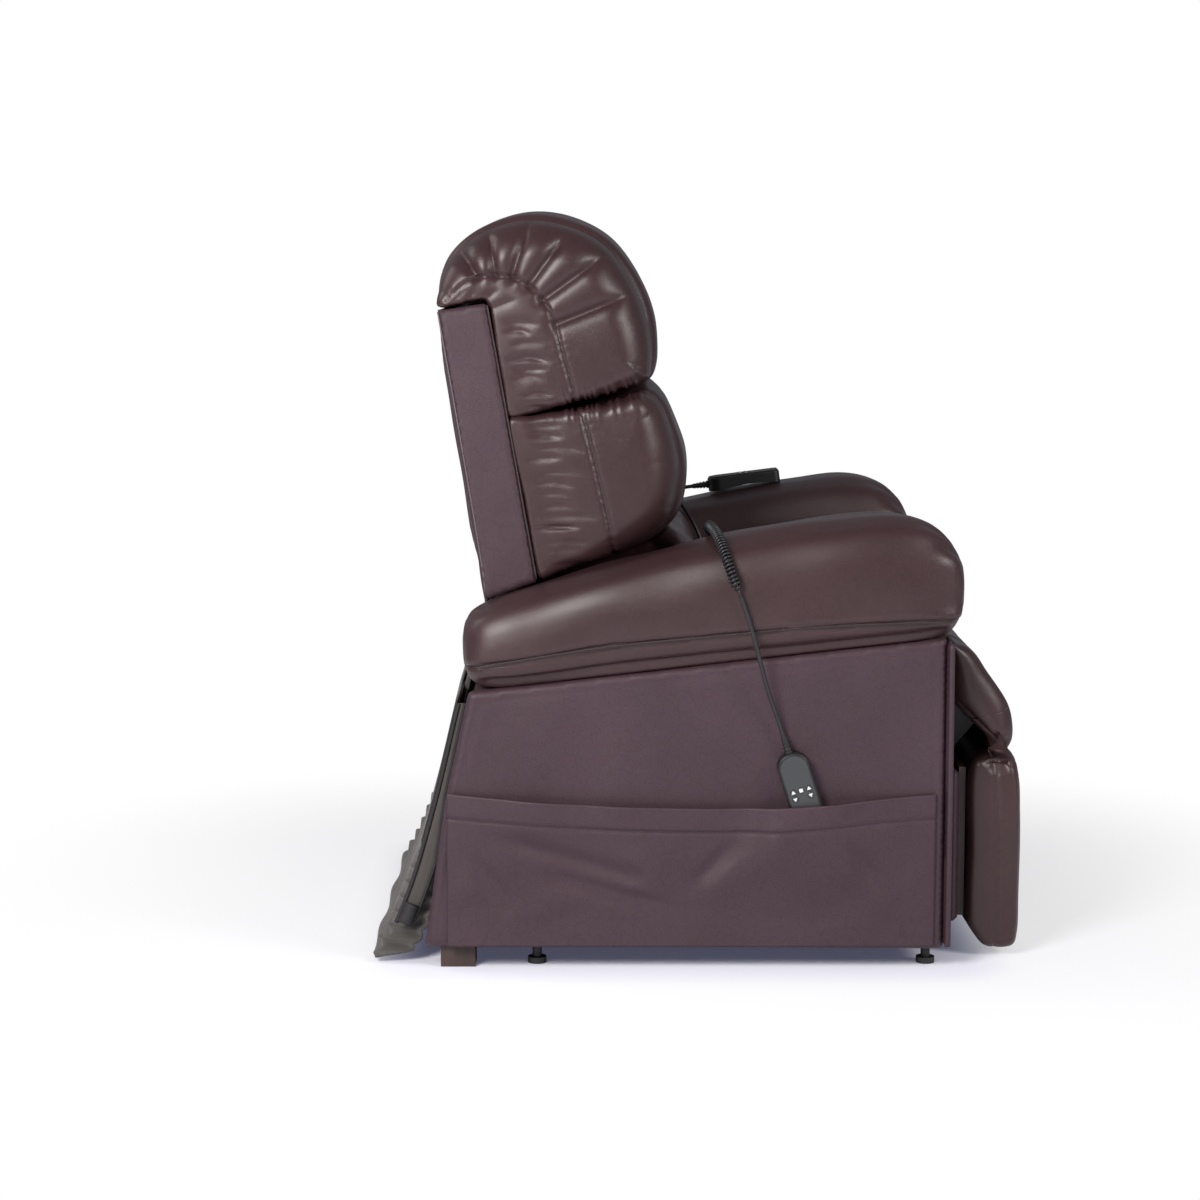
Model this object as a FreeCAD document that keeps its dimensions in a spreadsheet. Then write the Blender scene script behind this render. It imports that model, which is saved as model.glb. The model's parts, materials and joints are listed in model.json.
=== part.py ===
"""Lift recliner chair: floor base, lift linkage, seat, arms, back, legrest and hand controls.

Millimetres. +Z is up, the sitter looks towards -Y, and +X is the sitter's left.
The origin is on the floor under the middle of the chair's box.
"""
import FreeCAD, Part
import Sketcher
import math
import os
import re

Vector = FreeCAD.Vector

doc = FreeCAD.newDocument("LiftReclinerChair")
sheet = doc.addObject("Spreadsheet::Sheet", "Sizes")

SIZES = {
    # Floor base
    "glide_height": 34, "glide_radius": 14, "glide_stem": 7, "glide_disc": 9,
    "tube_side": 25, "tube_wall": 2, "base_side_gap": 18, "glide_inset": 12,
    "rear_tube_y": 243, "mid_tube_y": 28, "front_tube_y": -344,
    "rail_x": 240, "supply_length": 70, "supply_width": 110, "supply_height": 45,
    # Mechanism layers across the chair
    "plate_x": 246, "plate_thick": 6, "layer_gap": 2, "link_half": 13,
    "pin_radius": 6, "shaft_radius": 12, "running_gap": 0.1, "open_pivot_gap": 1.4, "seat_gap": 0.3,
    # Lift linkage pivots
    "lift_front_y": -302, "lift_front_z": 80, "lift_rear_y": -252, "lift_rear_z": 110,
    "chair_front_y": -2, "chair_front_z": 120, "chair_rear_y": 121.6, "chair_rear_z": 173,
    # Back and legrest pivots
    "back_y": 208, "back_z": 240,
    "legrest_y": -287, "legrest_z": 407, "brace_y": -187, "brace_z": 360,
    "knee_y": -422, "knee_z": 370, "brace_end_y": -397, "brace_end_z": 397.5,
    # Actuators
    "lift_motor_y": 28, "lift_motor_z": 90, "lift_crank_y": -272.08, "lift_crank_z": 131.82,
    "back_motor_y": -8, "back_motor_z": 240, "back_crank_y": 185.52, "back_crank_z": 295.65,
    "leg_motor_y": -82, "leg_motor_z": 330, "leg_crank_y": -309, "leg_crank_z": 351,
    "gearbox_width": 50, "gearbox_length": 58, "gearbox_height": 56, "motor_radius": 21, "motor_length": 85,
    "sleeve_radius": 15, "push_rod_radius": 8, "push_pin_radius": 5, "crank_thick": 8, "crank_web_half": 8,
    "crank_slot_length": 24, "crank_slot_height": 24, "crank_rim": 6,
    "lift_sleeve": 150, "back_sleeve": 72, "leg_sleeve": 92,
    # Seat
    "seat_rail_x": 205, "seat_rail_width": 27, "seat_rail_low": 396.3, "seat_rail_height": 54,
    "seat_front_y": -265, "seat_rear_y": 140, "seat_spring_wire": 4, "cushion_side_gap": 6,
    "cushion_thick": 52, "cushion_front_y": -336, "cushion_rear_y": 204,
    # Arms and side boxes
    "arm_outer": 460, "arm_inner": 270, "panel_outer": 430, "panel_thick": 20,
    "board_inner": 275, "board_thick": 15, "panel_bottom": 33, "board_bottom": 66,
    "panel_front_y": -365, "panel_rear_y": 410, "panel_mid_y": 378, "panel_mid_z": 259, "panel_top_y": 343,
    "arm_low_z": 460, "arm_low_y": 0, "arm_rise": 0.1148, "facing_thick": 9,
    "leg_block_y": 335.3, "leg_block_length": 52, "leg_block_width": 50, "leg_block_height": 150,
    # Back
    "back_half": 360, "side_strip_thick": 16, "post_width": 25, "pillow_inset": 5, "lumbar_side_gap": 9,
    # Legrest
    "pad_half": 354, "legrest_board_half": 330, "board_face_y": -397.7, "legrest_board_thick": 10,
    "board_low_z": 60, "board_high_z": 290, "foot_thick": 6,
    # Side pocket
    "pocket_rear_y": 376, "pocket_front_y": -350, "pocket_top_z": 260, "pocket_cloth": 3, "pocket_open": 10,
    # Hand controls and cords
    "control_width": 48, "control_length": 125, "control_thick": 24, "button_radius": 4.4,
    "button_height": 4, "button_travel": 1.5, "button_pitch": 10.5, "button_across": 12, "button_along": 62,
    "relief_length": 28, "lead_diameter": 6.5, "curl_diameter": 17,
    "curl_wire": 3.8, "curl_pitch": 5.5,
}


def fill_sheet():
    """Write each size to the sheet under its own alias."""
    for row, (alias, value) in enumerate(SIZES.items(), start=1):
        sheet.set(f"A{row}", alias)
        sheet.set(f"B{row}", str(value))
        sheet.setAlias(f"B{row}", alias)
    doc.recompute()


def size(alias):
    """The value of one size in the sheet."""
    return float(sheet.get(alias))


def formula(text):
    """Turn plain words for sizes into references to the sheet."""
    return re.sub(r"[a-z_]{3,}", lambda word: f"Sizes.{word[0]}" if word[0] in SIZES else word[0], str(text))


def number(text):
    """The value that a formula has now."""
    value = sheet.evalExpression(formula(text))
    return float(getattr(value, "Value", value))


def bind(item, **formulas):
    """Tie properties of an object to formulas on the sheet."""
    for name, text in formulas.items():
        item.setExpression(name, formula(text))
    return item


def put(item, x="0", y="0", z="0"):
    """Tie an object's place to formulas on the sheet."""
    for axis, text in (("x", x), ("y", y), ("z", z)):
        item.setExpression(f"Placement.Base.{axis}", formula(text))
    return item


def block(name, low, lengths):
    """A box from its low corner and its lengths along X, Y and Z."""
    item = doc.addObject("Part::Box", name)
    bind(item, Length=lengths[0], Width=lengths[1], Height=lengths[2])
    return put(item, *low)


def round_bar(name, radius, low_x, length, y="0", z="0"):
    """A cylinder across the chair."""
    item = doc.addObject("Part::Cylinder", name)
    item.Placement.Rotation = FreeCAD.Rotation(Vector(0, 1, 0), 90)
    bind(item, Radius=radius, Height=length)
    return put(item, low_x, y, z)


def post(name, radius, height, x="0", y="0", z="0"):
    """An upright cylinder."""
    item = doc.addObject("Part::Cylinder", name)
    bind(item, Radius=radius, Height=height)
    return put(item, x, y, z)


def rod_along(name, radius, start_y, length, x="0", z="0"):
    """A cylinder that lies along Y."""
    item = doc.addObject("Part::Cylinder", name)
    item.Placement.Rotation = FreeCAD.Rotation(Vector(1, 0, 0), -90)
    bind(item, Radius=radius, Height=length)
    return put(item, x, start_y, z)


def fuse(name, items):
    """One solid from several."""
    item = doc.addObject("Part::MultiFuse", name)
    item.Shapes = items
    return item


def cut(name, base, tools):
    """A solid with others taken away from it."""
    item = doc.addObject("Part::Cut", name)
    item.Base = base
    item.Tool = tools[0] if len(tools) == 1 else fuse(f"{name}_tools", tools)
    return item


def group(name, items):
    """Several separate solids in one part."""
    item = doc.addObject("Part::Compound", name)
    item.Links = items
    return item


def mirror(name, source):
    """The same piece on the chair's other side."""
    item = doc.addObject("Part::Mirroring", name)
    item.Source = source
    item.Base = Vector(0, 0, 0)
    item.Normal = Vector(1, 0, 0)
    return item


def both_sides(name, item):
    """A piece and its mirror image as one part."""
    return group(name, [item, mirror(f"{name}_mirror", item)])


def solid(name, shape):
    """A part whose shape is worked out from curves."""
    item = doc.addObject("Part::Feature", name)
    item.Shape = shape
    return item


PARTS = []


def part(label, item):
    """Name an object as one part of the chair."""
    item.Label = label
    PARTS.append(item)
    return item


def round_edges(name, base, radius, wanted):
    """Round the edges of an object that a test picks out."""
    item = doc.addObject("Part::Fillet", name)
    item.Base = base
    doc.recompute()
    chosen = [index for index, edge in enumerate(base.Shape.Edges, start=1) if wanted(edge)]
    item.Edges = [(index, float(radius), float(radius)) for index in chosen]
    return item


def is_upright(edge):
    """Whether an edge runs along Z."""
    direction = edge.Vertexes[-1].Point - edge.Vertexes[0].Point
    return abs(direction.z) > 0.9 * direction.Length > 0


def own_plane(body, role):
    """One of a body's origin planes."""
    return [feature for feature in body.Origin.OriginFeatures if feature.Role == role][0]


def hold_point(sketch, index, end, first, second):
    """Tie a point of a sketch to its two formulas."""
    for kind, text in (("DistanceX", first), ("DistanceY", second)):
        rule = sketch.addConstraint(Sketcher.Constraint(kind, -1, 1, index, end, number(text)))
        sketch.setExpression(f"Constraints[{rule}]", formula(text))


def padded_outline(name, role, outline, thickness, holes=()):
    """A body padded from an outline of formulas on one of its origin planes, with round holes."""
    body = doc.addObject("PartDesign::Body", name)
    sketch = body.newObject("Sketcher::SketchObject", f"{name}_outline")
    sketch.AttachmentSupport = [(own_plane(body, role), "")]
    sketch.MapMode = "FlatFace"
    corners = [Vector(number(first), number(second), 0) for first, second in outline]
    count = len(corners)
    for index, corner in enumerate(corners):
        sketch.addGeometry(Part.LineSegment(corner, corners[(index + 1) % count]), False)
    for index in range(count):
        sketch.addConstraint(Sketcher.Constraint("Coincident", index, 2, (index + 1) % count, 1))
    for index, (first, second) in enumerate(outline):
        hold_point(sketch, index, 1, first, second)
    for first, second, radius in holes:
        circle = Part.Circle(Vector(number(first), number(second), 0), Vector(0, 0, 1), number(radius))
        index = sketch.addGeometry(circle, False)
        hold_point(sketch, index, 3, first, second)
        rule = sketch.addConstraint(Sketcher.Constraint("Radius", index, number(radius)))
        sketch.setExpression(f"Constraints[{rule}]", formula(radius))
    pad = body.newObject("PartDesign::Pad", f"{name}_pad")
    pad.Profile = sketch
    bind(pad, Length=thickness)
    return body


def flat_plate(name, outline, low_x, thickness, holes=()):
    """A plate cut to an outline of (y, z) formulas in the side view, with (y, z, radius) holes."""
    return put(padded_outline(name, "YZ_Plane", outline, thickness, holes), x=low_x)


def distance(start, end):
    """Formula for the distance between two points of formulas."""
    return f"hypot(({end[0]}) - ({start[0]}); ({end[1]}) - ({start[1]}))"


def turn_to(item, low_x, start, end):
    """Lay an object that was made along Y from one point to another in the side view."""
    item.Placement = FreeCAD.Placement(Vector(), FreeCAD.Rotation(Vector(1, 0, 0), 1))
    put(item, low_x, *start)
    angle = f"atan2(({end[1]}) - ({start[1]}); ({end[0]}) - ({start[0]}))"
    item.setExpression("Placement.Rotation.Angle", formula(angle))
    return item


def link_bar(name, low_x, start, end):
    """A flat bar with round ends from one pivot to another."""
    length = distance(start, end)
    bar = block(f"{name}_bar", ("0", "0", "-link_half"), ("plate_thick", length, "2 * link_half"))
    near_end = round_bar(f"{name}_near", "link_half", "0", "plate_thick")
    far_end = round_bar(f"{name}_far", "link_half", "0", "plate_thick", y=length)
    return turn_to(fuse(name, [bar, near_end, far_end]), low_x, start, end)


# Layers of the mechanism, from the chair's middle line outwards
INNER_LINK = "(plate_x - layer_gap - plate_thick)"
OUTER_LINK = "(plate_x + plate_thick + layer_gap)"
OUTER_FACE = "(plate_x + 2 * plate_thick + layer_gap)"
SHAFT_HOLE = "shaft_radius + running_gap"
PIN_HOLE = "pin_radius + running_gap"
OPEN_HOLE = "pin_radius + open_pivot_gap"
INNER_PIN_START = "(plate_x - layer_gap)"
OUTER_PIN_START = "(plate_x - layer_gap + 1)"


def shaft(name, y, z):
    """A torque tube right across the mechanism."""
    return round_bar(name, "shaft_radius", f"-{OUTER_FACE}", f"2 * {OUTER_FACE}", y, z)


def pin(name, from_x, y, z):
    """A pin through one plate, from a link's face to just past the plate."""
    return round_bar(name, "pin_radius", from_x, "plate_thick + 2 * layer_gap - 1", y, z)


def crank(name, shaft_point, pin_point):
    """A crank plate on a torque tube, with the slot that lets the actuator's pin run free."""
    half_length = "(crank_slot_length / 2 + crank_rim)"
    half_height = "(crank_slot_height / 2 + crank_rim)"
    head = block(f"{name}_head", ("-crank_thick / 2", f"{pin_point[0]} - {half_length}",
                                  f"{pin_point[1]} - {half_height}"),
                 ("crank_thick", f"2 * {half_length}", f"2 * {half_height}"))
    web = flat_plate(f"{name}_web", web_corners(shaft_point, pin_point), "-crank_thick / 2", "crank_thick")
    slot = block(f"{name}_slot", ("-crank_thick", f"{pin_point[0]} - crank_slot_length / 2",
                                  f"{pin_point[1]} - crank_slot_height / 2"),
                 ("2 * crank_thick", "crank_slot_length", "crank_slot_height"))
    return cut(name, fuse(f"{name}_plate", [head, web]), [slot])


def web_corners(shaft_point, pin_point):
    """Four corners of the web between a torque tube and its crank's head."""
    dy = f"(({pin_point[0]}) - ({shaft_point[0]}))"
    dz = f"(({pin_point[1]}) - ({shaft_point[1]}))"
    reach = distance(shaft_point, pin_point)
    side_y = f"({dz} / {reach} * crank_web_half)"
    side_z = f"({dy} / {reach} * crank_web_half)"
    return [(f"{shaft_point[0]} - {side_y}", f"{shaft_point[1]} + {side_z}"),
            (f"{shaft_point[0]} + {side_y}", f"{shaft_point[1]} - {side_z}"),
            (f"{pin_point[0]} + {side_y}", f"{pin_point[1]} - {side_z}"),
            (f"{pin_point[0]} - {side_y}", f"{pin_point[1]} + {side_z}")]


# Floor base
TUBE_TOP = "(glide_height + tube_side)"
TUBE_END = "(panel_outer - panel_thick - base_side_gap)"
GLIDE_X = f"({TUBE_END} - glide_inset)"


def cross_tube(name, y):
    """A hollow square tube across the base."""
    low = (f"-{TUBE_END}", f"{y} - tube_side / 2", "glide_height")
    tube = block(name, low, (f"2 * {TUBE_END}", "tube_side", "tube_side"))
    bore_low = (f"-{TUBE_END} - 1", f"{y} - tube_side / 2 + tube_wall", "glide_height + tube_wall")
    bore_side = "tube_side - 2 * tube_wall"
    bore = block(f"{name}_bore", bore_low, (f"2 * {TUBE_END} + 2", bore_side, bore_side))
    return cut(f"{name}_hollow", tube, [bore])


def base_rail(name, front_y, rear_y):
    """A rail between two cross tubes."""
    low = ("rail_x - tube_side / 2", f"{front_y} + tube_side / 2", "glide_height")
    return block(name, low, ("tube_side", f"{rear_y} - ({front_y}) - tube_side", "tube_side"))


def make_base():
    """The frame that stays on the floor, with its feet, brackets and power supply."""
    tubes = [cross_tube(f"{word}_tube", f"{word}_tube_y") for word in ("front", "mid", "rear")]
    part("base_cross_tubes", group("base_cross_tubes", tubes))
    rails = [base_rail("front_rail", "front_tube_y", "mid_tube_y"),
             base_rail("rear_rail", "mid_tube_y", "rear_tube_y")]
    part("base_rails", both_sides("base_rails", group("base_rails_left", rails)))
    outline = [("lift_front_y - 26", TUBE_TOP), ("lift_rear_y + 30", TUBE_TOP),
               ("lift_rear_y + 16", "lift_rear_z + 14"), ("lift_rear_y - 14", "lift_rear_z + 16"),
               ("lift_front_y - 18", "lift_front_z + 18")]
    holes = [("lift_front_y", "lift_front_z", SHAFT_HOLE), ("lift_rear_y", "lift_rear_z", PIN_HOLE)]
    bracket = flat_plate("pivot_bracket", outline, "plate_x", "plate_thick", holes)
    part("base_pivot_brackets", group("base_pivot_brackets",
                                      [both_sides("pivot_brackets", bracket), motor_bracket()]))
    part("base_glides", make_glides())
    part("power_supply", make_power_supply())


def make_glides():
    """Four round glides and the two low pads under the middle tube."""
    feet = []
    for word in ("front", "rear"):
        centre = f"{word}_tube_y"
        disc = post(f"{word}_disc", "glide_radius", "glide_disc", GLIDE_X, centre)
        stem = post(f"{word}_stem", "glide_stem", "glide_height - glide_disc", GLIDE_X, centre, "glide_disc")
        feet.append(fuse(f"{word}_glide", [disc, stem]))
    pad = block("mid_pad", (f"{GLIDE_X} - glide_radius", "mid_tube_y - glide_radius",
                            "glide_height - glide_disc"),
                ("glide_inset + glide_radius", "2 * glide_radius", "glide_disc"))
    return both_sides("base_glides", group("base_glides_left", feet + [pad]))


EAR_X = "(gearbox_width / 4)"


def ears(name, web_low, web_lengths, y, z):
    """Two ears with the axle that an actuator's rear eye turns on."""
    boss = round_bar(f"{name}_boss", "tube_side / 2", EAR_X, "plate_thick", y, z)
    web = block(f"{name}_web", (EAR_X, *web_low), ("plate_thick", *web_lengths))
    ear = fuse(f"{name}_ear", [boss, web])
    axle = round_bar(f"{name}_axle", "push_pin_radius", f"-{EAR_X} - plate_thick",
                     f"2 * ({EAR_X} + plate_thick)", y, z)
    return fuse(name, [ear, mirror(f"{name}_other", ear), axle])


def motor_bracket():
    """The lift actuator's ears on the middle tube."""
    low = ("lift_motor_y - tube_side / 2", TUBE_TOP)
    return ears("lift_motor_bracket", low, ("tube_side", f"lift_motor_z - {TUBE_TOP}"), "lift_motor_y",
                "lift_motor_z")


def make_power_supply():
    """The transformer's box on the rear tube, with the mains inlet in its rear face."""
    low = ("rail_x - tube_side / 2 - supply_width - 4", "rear_tube_y - supply_length + tube_side / 2",
           f"{TUBE_TOP} + seat_gap")
    box = block("supply_box", low, ("supply_width", "supply_length", "supply_height"))
    rounded = round_edges("supply_rounded", box, 6, is_upright)
    inlet = block("supply_inlet", (f"{low[0]} + 20", f"{low[1]} + supply_length - 12", f"{low[2]} + 12"),
                  ("26", "20", "18"))
    blades = [block(f"supply_blade_{index}", (f"{low[0]} + {offset}", f"{low[1]} + supply_length - 12.5",
                                              f"{low[2]} + 19"), ("2", "9", "5"))
              for index, offset in enumerate((26, 32, 38))]
    return fuse("power_supply", [cut("supply_case", rounded, [inlet])] + blades)


# Lift linkage
def make_lift_links():
    """Front links with torque tube and crank, and rear links with their tie tube."""
    front = ("lift_front_y", "lift_front_z")
    rear = ("lift_rear_y", "lift_rear_z")
    chair_front = ("chair_front_y", "chair_front_z")
    chair_rear = ("chair_rear_y", "chair_rear_z")
    front_bar = link_bar("front_link", OUTER_LINK, front, chair_front)
    front_side = fuse("front_link_side", [front_bar, pin("front_link_pin", OUTER_PIN_START, *chair_front)])
    part("lift_front_links", fuse("lift_front_links", [
        front_side, mirror("front_link_other", front_side), shaft("lift_shaft", *front),
        crank("lift_crank", front, ("lift_crank_y", "lift_crank_z"))]))
    rear_bar = link_bar("rear_link", INNER_LINK, rear, chair_rear)
    rear_pins = [pin("rear_link_pin", INNER_PIN_START, *rear),
                 pin("rear_link_end", INNER_PIN_START, *chair_rear)]
    rear_side = fuse("rear_link_side", [rear_bar] + rear_pins)
    tie_y = "chair_rear_y - 0.1 * (chair_rear_y - lift_rear_y)"
    tie_z = "chair_rear_z - 0.1 * (chair_rear_z - lift_rear_z)"
    tie = round_bar("rear_link_tie", "link_half - 3", f"-{INNER_LINK}", f"2 * {INNER_LINK}", tie_y, tie_z)
    part("lift_rear_links", fuse("lift_rear_links", [rear_side, mirror("rear_link_other", rear_side), tie]))


# Actuators
EYE_LENGTH = "16"


def make_actuator(name, motor, crank_pin, sleeve, can_low_x):
    """An actuator's body and its push rod, made along Y and laid from its ears to its crank."""
    reach = distance(motor, crank_pin)
    middle = f"{EYE_LENGTH} + gearbox_length / 2"
    body = fuse(f"{name}_solid", [
        round_bar(f"{name}_eye", "push_pin_radius + 6", f"-{EAR_X} + 1", f"2 * ({EAR_X} - 1)"),
        block(f"{name}_neck", ("-9", "0", "-9"), ("18", f"{EYE_LENGTH} + 2", "18")),
        block(f"{name}_gearbox", ("-gearbox_width / 2", EYE_LENGTH, "-gearbox_height / 2"),
              ("gearbox_width", "gearbox_length", "gearbox_height")),
        round_bar(f"{name}_can", "motor_radius", can_low_x, "motor_length", y=middle),
        rod_along(f"{name}_sleeve", "sleeve_radius", f"{EYE_LENGTH} + gearbox_length", sleeve),
    ])
    bores = [round_bar(f"{name}_eye_bore", "push_pin_radius + running_gap", f"-{EAR_X}", f"2 * {EAR_X}"),
             rod_along(f"{name}_bore", "push_rod_radius + seat_gap", "40", f"{sleeve} + gearbox_length")]
    part(name, turn_to(cut(name, body, bores), "0", motor, crank_pin))
    cheek = "(crank_thick / 2 + 7)"
    fork = block(f"{name}_fork_block", (f"-{cheek}", f"{reach} - 43", "-11"), (f"2 * {cheek}", "53", "22"))
    gap = block(f"{name}_fork_gap", ("-crank_thick / 2 - 1", f"{reach} - 36", "-12"),
                ("crank_thick + 2", "50", "24"))
    rod = fuse(f"{name}_rod", [
        rod_along(f"{name}_push_rod", "push_rod_radius", "46", f"{reach} - 46 - 39"),
        cut(f"{name}_fork", fork, [gap]),
        round_bar(f"{name}_fork_pin", "push_pin_radius", f"-{cheek}", f"2 * {cheek}", y=reach),
    ])
    part(name.replace("actuator", "push_rod"), turn_to(rod, "0", motor, crank_pin))


def make_actuators():
    """The three actuators, retracted."""
    right = "-gearbox_width / 2 - motor_length + 2"
    left = "gearbox_width / 2 - 2"
    for name, word, can_low_x in (("lift_actuator", "lift", left), ("back_actuator", "back", right),
                                  ("legrest_actuator", "leg", left)):
        motor = (f"{word}_motor_y", f"{word}_motor_z")
        make_actuator(name, motor, (f"{word}_crank_y", f"{word}_crank_z"), f"{word}_sleeve", can_low_x)


# Chair mechanism
def make_mechanism():
    """Side plates that carry all the chair's pivots, and the tubes between them."""
    flange_top = "seat_rail_low - seat_gap"
    outline = [("legrest_y - 23", "legrest_z + 18"), ("legrest_y + 22", "legrest_z + 18"),
               ("legrest_y + 47", flange_top), ("seat_rear_y", flange_top),
               ("back_y + 20", "back_z + 22"), ("back_y + 20", "back_z - 22"),
               ("chair_rear_y + 20", "chair_rear_z - 23"), ("chair_front_y + 24", "chair_front_z - 22"),
               ("chair_front_y - 24", "chair_front_z - 22"), ("chair_front_y - 38", "chair_front_z + 100"),
               ("brace_y + 97", "brace_z - 45"), ("legrest_y - 13", "brace_z - 15"),
               ("legrest_y - 23", "legrest_z - 27")]
    holes = [("legrest_y", "legrest_z", SHAFT_HOLE), ("brace_y", "brace_z", PIN_HOLE),
             ("back_y", "back_z", SHAFT_HOLE), ("chair_front_y", "chair_front_z", PIN_HOLE),
             ("chair_rear_y", "chair_rear_z", OPEN_HOLE)]
    plate = flat_plate("mechanism_plate", outline, "plate_x", "plate_thick", holes)
    flange = block("mechanism_flange", ("seat_rail_x", "brace_y + 27", f"{flange_top} - plate_thick"),
                   ("plate_x - seat_rail_x + 0.5", "seat_rear_y - brace_y - 32", "plate_thick"))
    part("mechanism_plates", both_sides("mechanism_plates", fuse("mechanism_side", [plate, flange])))
    back_member = cross_member("back_member", "back_motor_y", "back_motor_z", -1)
    leg_member = cross_member("leg_member", "leg_motor_y", "leg_motor_z", 1)
    part("mechanism_cross_tubes", group("mechanism_cross_tubes", [back_member, leg_member]))


def cross_member(name, y, z, side):
    """A square tube between the mechanism plates, with the ears of an actuator on one side of it."""
    offset = 30
    tube_y = f"({y} + {side * offset})"
    tube = block(f"{name}_tube", ("-plate_x", f"{tube_y} - tube_side / 2", f"{z} - tube_side / 2"),
                 ("2 * plate_x", "tube_side", "tube_side"))
    web_low = y if side > 0 else tube_y
    pair = ears(f"{name}_ears", (web_low, f"{z} - tube_side / 2"), (str(offset), "tube_side"), y, z)
    return fuse(name, [tube, pair])


# Seat
RAIL_TOP = "(seat_rail_low + seat_rail_height)"


def make_seat():
    """Wooden seat frame, zigzag springs, cushion and the control box under the frame."""
    side = block("seat_side_rail", ("seat_rail_x", "seat_front_y", "seat_rail_low"),
                 ("seat_rail_width", "seat_rear_y - seat_front_y", "seat_rail_height"))
    rail = ("2 * seat_rail_x", "seat_rail_width", "seat_rail_height")
    front = block("seat_front_rail", ("-seat_rail_x", "seat_front_y", "seat_rail_low"), rail)
    rear = block("seat_rear_rail", ("-seat_rail_x", "seat_rear_y - seat_rail_width", "seat_rail_low"), rail)
    slat = block("seat_slat", ("-seat_rail_x", "seat_rear_y - 100", "seat_rail_low"),
                 ("2 * seat_rail_x", "60", "board_thick"))
    spacers = [block(f"arm_spacer_{index}", ("seat_rail_x + seat_rail_width - 2", y, "seat_rail_low + 4"),
                     ("board_inner - seat_gap - seat_rail_x - seat_rail_width + 2", "40",
                      "seat_rail_height - 8"))
               for index, y in enumerate(("seat_front_y + 60", "seat_rear_y - 60"))]
    half = fuse("seat_half", [side] + spacers)
    part("seat_frame", fuse("seat_frame", [half, mirror("seat_other_half", half), front, rear, slat]))
    part("seat_springs", solid("seat_springs", seat_springs()))
    part("seat_cushion", solid("seat_cushion", seat_cushion()))
    part("control_box", block("control_case", ("40", "seat_rear_y - 98", "seat_rail_low - seat_gap - 34"),
                              ("110", "56", "34")))


def seat_springs():
    """Five zigzag wires from the front rail to the rear rail."""
    wire = size("seat_spring_wire") / 2
    top = number(RAIL_TOP) + wire + size("seat_gap")
    front = size("seat_front_y") + 6
    rear = size("seat_rear_y") - 6
    bends = 2 * int((rear - front) / 48)
    pitch = (rear - front) / bends
    springs = [zigzag(x, front, pitch, bends, top, wire) for x in (-150, -75, 0, 75, 150)]
    return Part.makeCompound(springs)


def zigzag(x, front, pitch, bends, height, radius):
    """One zigzag wire: straight runs across, joined by half turns."""
    half = 20
    edges = []
    side = half
    for index in range(bends):
        y = front + index * pitch
        start = Vector(x - side, y, height)
        end = Vector(x + side, y, height)
        edges.append(Part.LineSegment(start, end).toShape())
        turn = pitch / 2 if side > 0 else -pitch / 2
        middle = Vector(x + side + turn, y + pitch / 2, height)
        edges.append(Part.Arc(end, middle, Vector(x + side, y + pitch, height)).toShape())
        side = -side
    last = front + bends * pitch
    edges.append(Part.LineSegment(Vector(x - side, last, height), Vector(x + side, last, height)).toShape())
    path = Part.Wire(edges)
    section = Part.Wire([Part.makeCircle(radius, Vector(x - half, front, height), Vector(1, 0, 0))])
    return path.makePipeShell([section], True, True)


def arc_loop(points):
    """A closed wire of arcs, each through three points in turn."""
    count = len(points)
    edges = []
    for index in range(0, count, 2):
        start, middle, end = points[index], points[index + 1], points[(index + 2) % count]
        edges.append(Part.Arc(start, middle, end).toShape())
    return Part.Wire(edges)


def drawn_in(amount):
    """Stations across a cushion: full in the middle and drawn in by a share at its ends."""
    places = (0, 0.3, 0.55, 0.74, 0.87, 0.95, 1)
    return [(place, 1 - amount * place ** 7) for place in places]


PUFFED = drawn_in(0.12)
FULL = drawn_in(0.06)


def pillow(outline, half, centre, stations):
    """A cushion lofted across the chair: its side outline drawn in about a centre towards its ends.

    outline lists (y, z) points in order, stations lists (share of the half width, share of the outline).
    """
    mirrored = [(-place, share) for place, share in reversed(stations[1:])]
    wires = []
    for place, share in mirrored + stations:
        points = [Vector(place * half, centre[0] + (y - centre[0]) * share,
                         centre[1] + (z - centre[1]) * share)
                  for y, z in outline]
        wires.append(arc_loop(points))
    return Part.makeLoft(wires, True, False)


def seat_cushion():
    """Crowned seat cushion with a rolled front edge."""
    low = number(RAIL_TOP) + size("seat_spring_wire") + 2 * size("seat_gap")
    top = low + size("cushion_thick")
    front = size("cushion_front_y")
    rear = size("cushion_rear_y")
    middle = 0.5 * (rear + front)
    outline = [(rear - 4, low + 3), (rear, low + 22), (rear - 8, top - 10), (rear - 60, top - 3),
               (middle, top + 3), (front + 90, top - 1), (front + 45, top - 7), (front + 13, top - 20),
               (front, low + 10), (front + 12, low - 22), (front + 30, low - 25), (front + 50, low - 14),
               (front + 67, low + 2), (middle, low + 0.3)]
    half = number("arm_inner - cushion_side_gap")
    cushion = pillow(outline, half, (middle, low + 22), FULL)
    inner = number(f"{INNER_LINK} - 4")
    for low_x in (inner, -inner - 40):
        cushion = cushion.cut(Part.makeBox(40, 78, 60, Vector(low_x, front - 10, low - 40)))
    return cushion


# Arms and side boxes
def underside(y):
    """Height of the arm pad's underside at a place along the chair."""
    return f"(arm_low_z - arm_rise * (({y}) - arm_low_y))"


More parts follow.
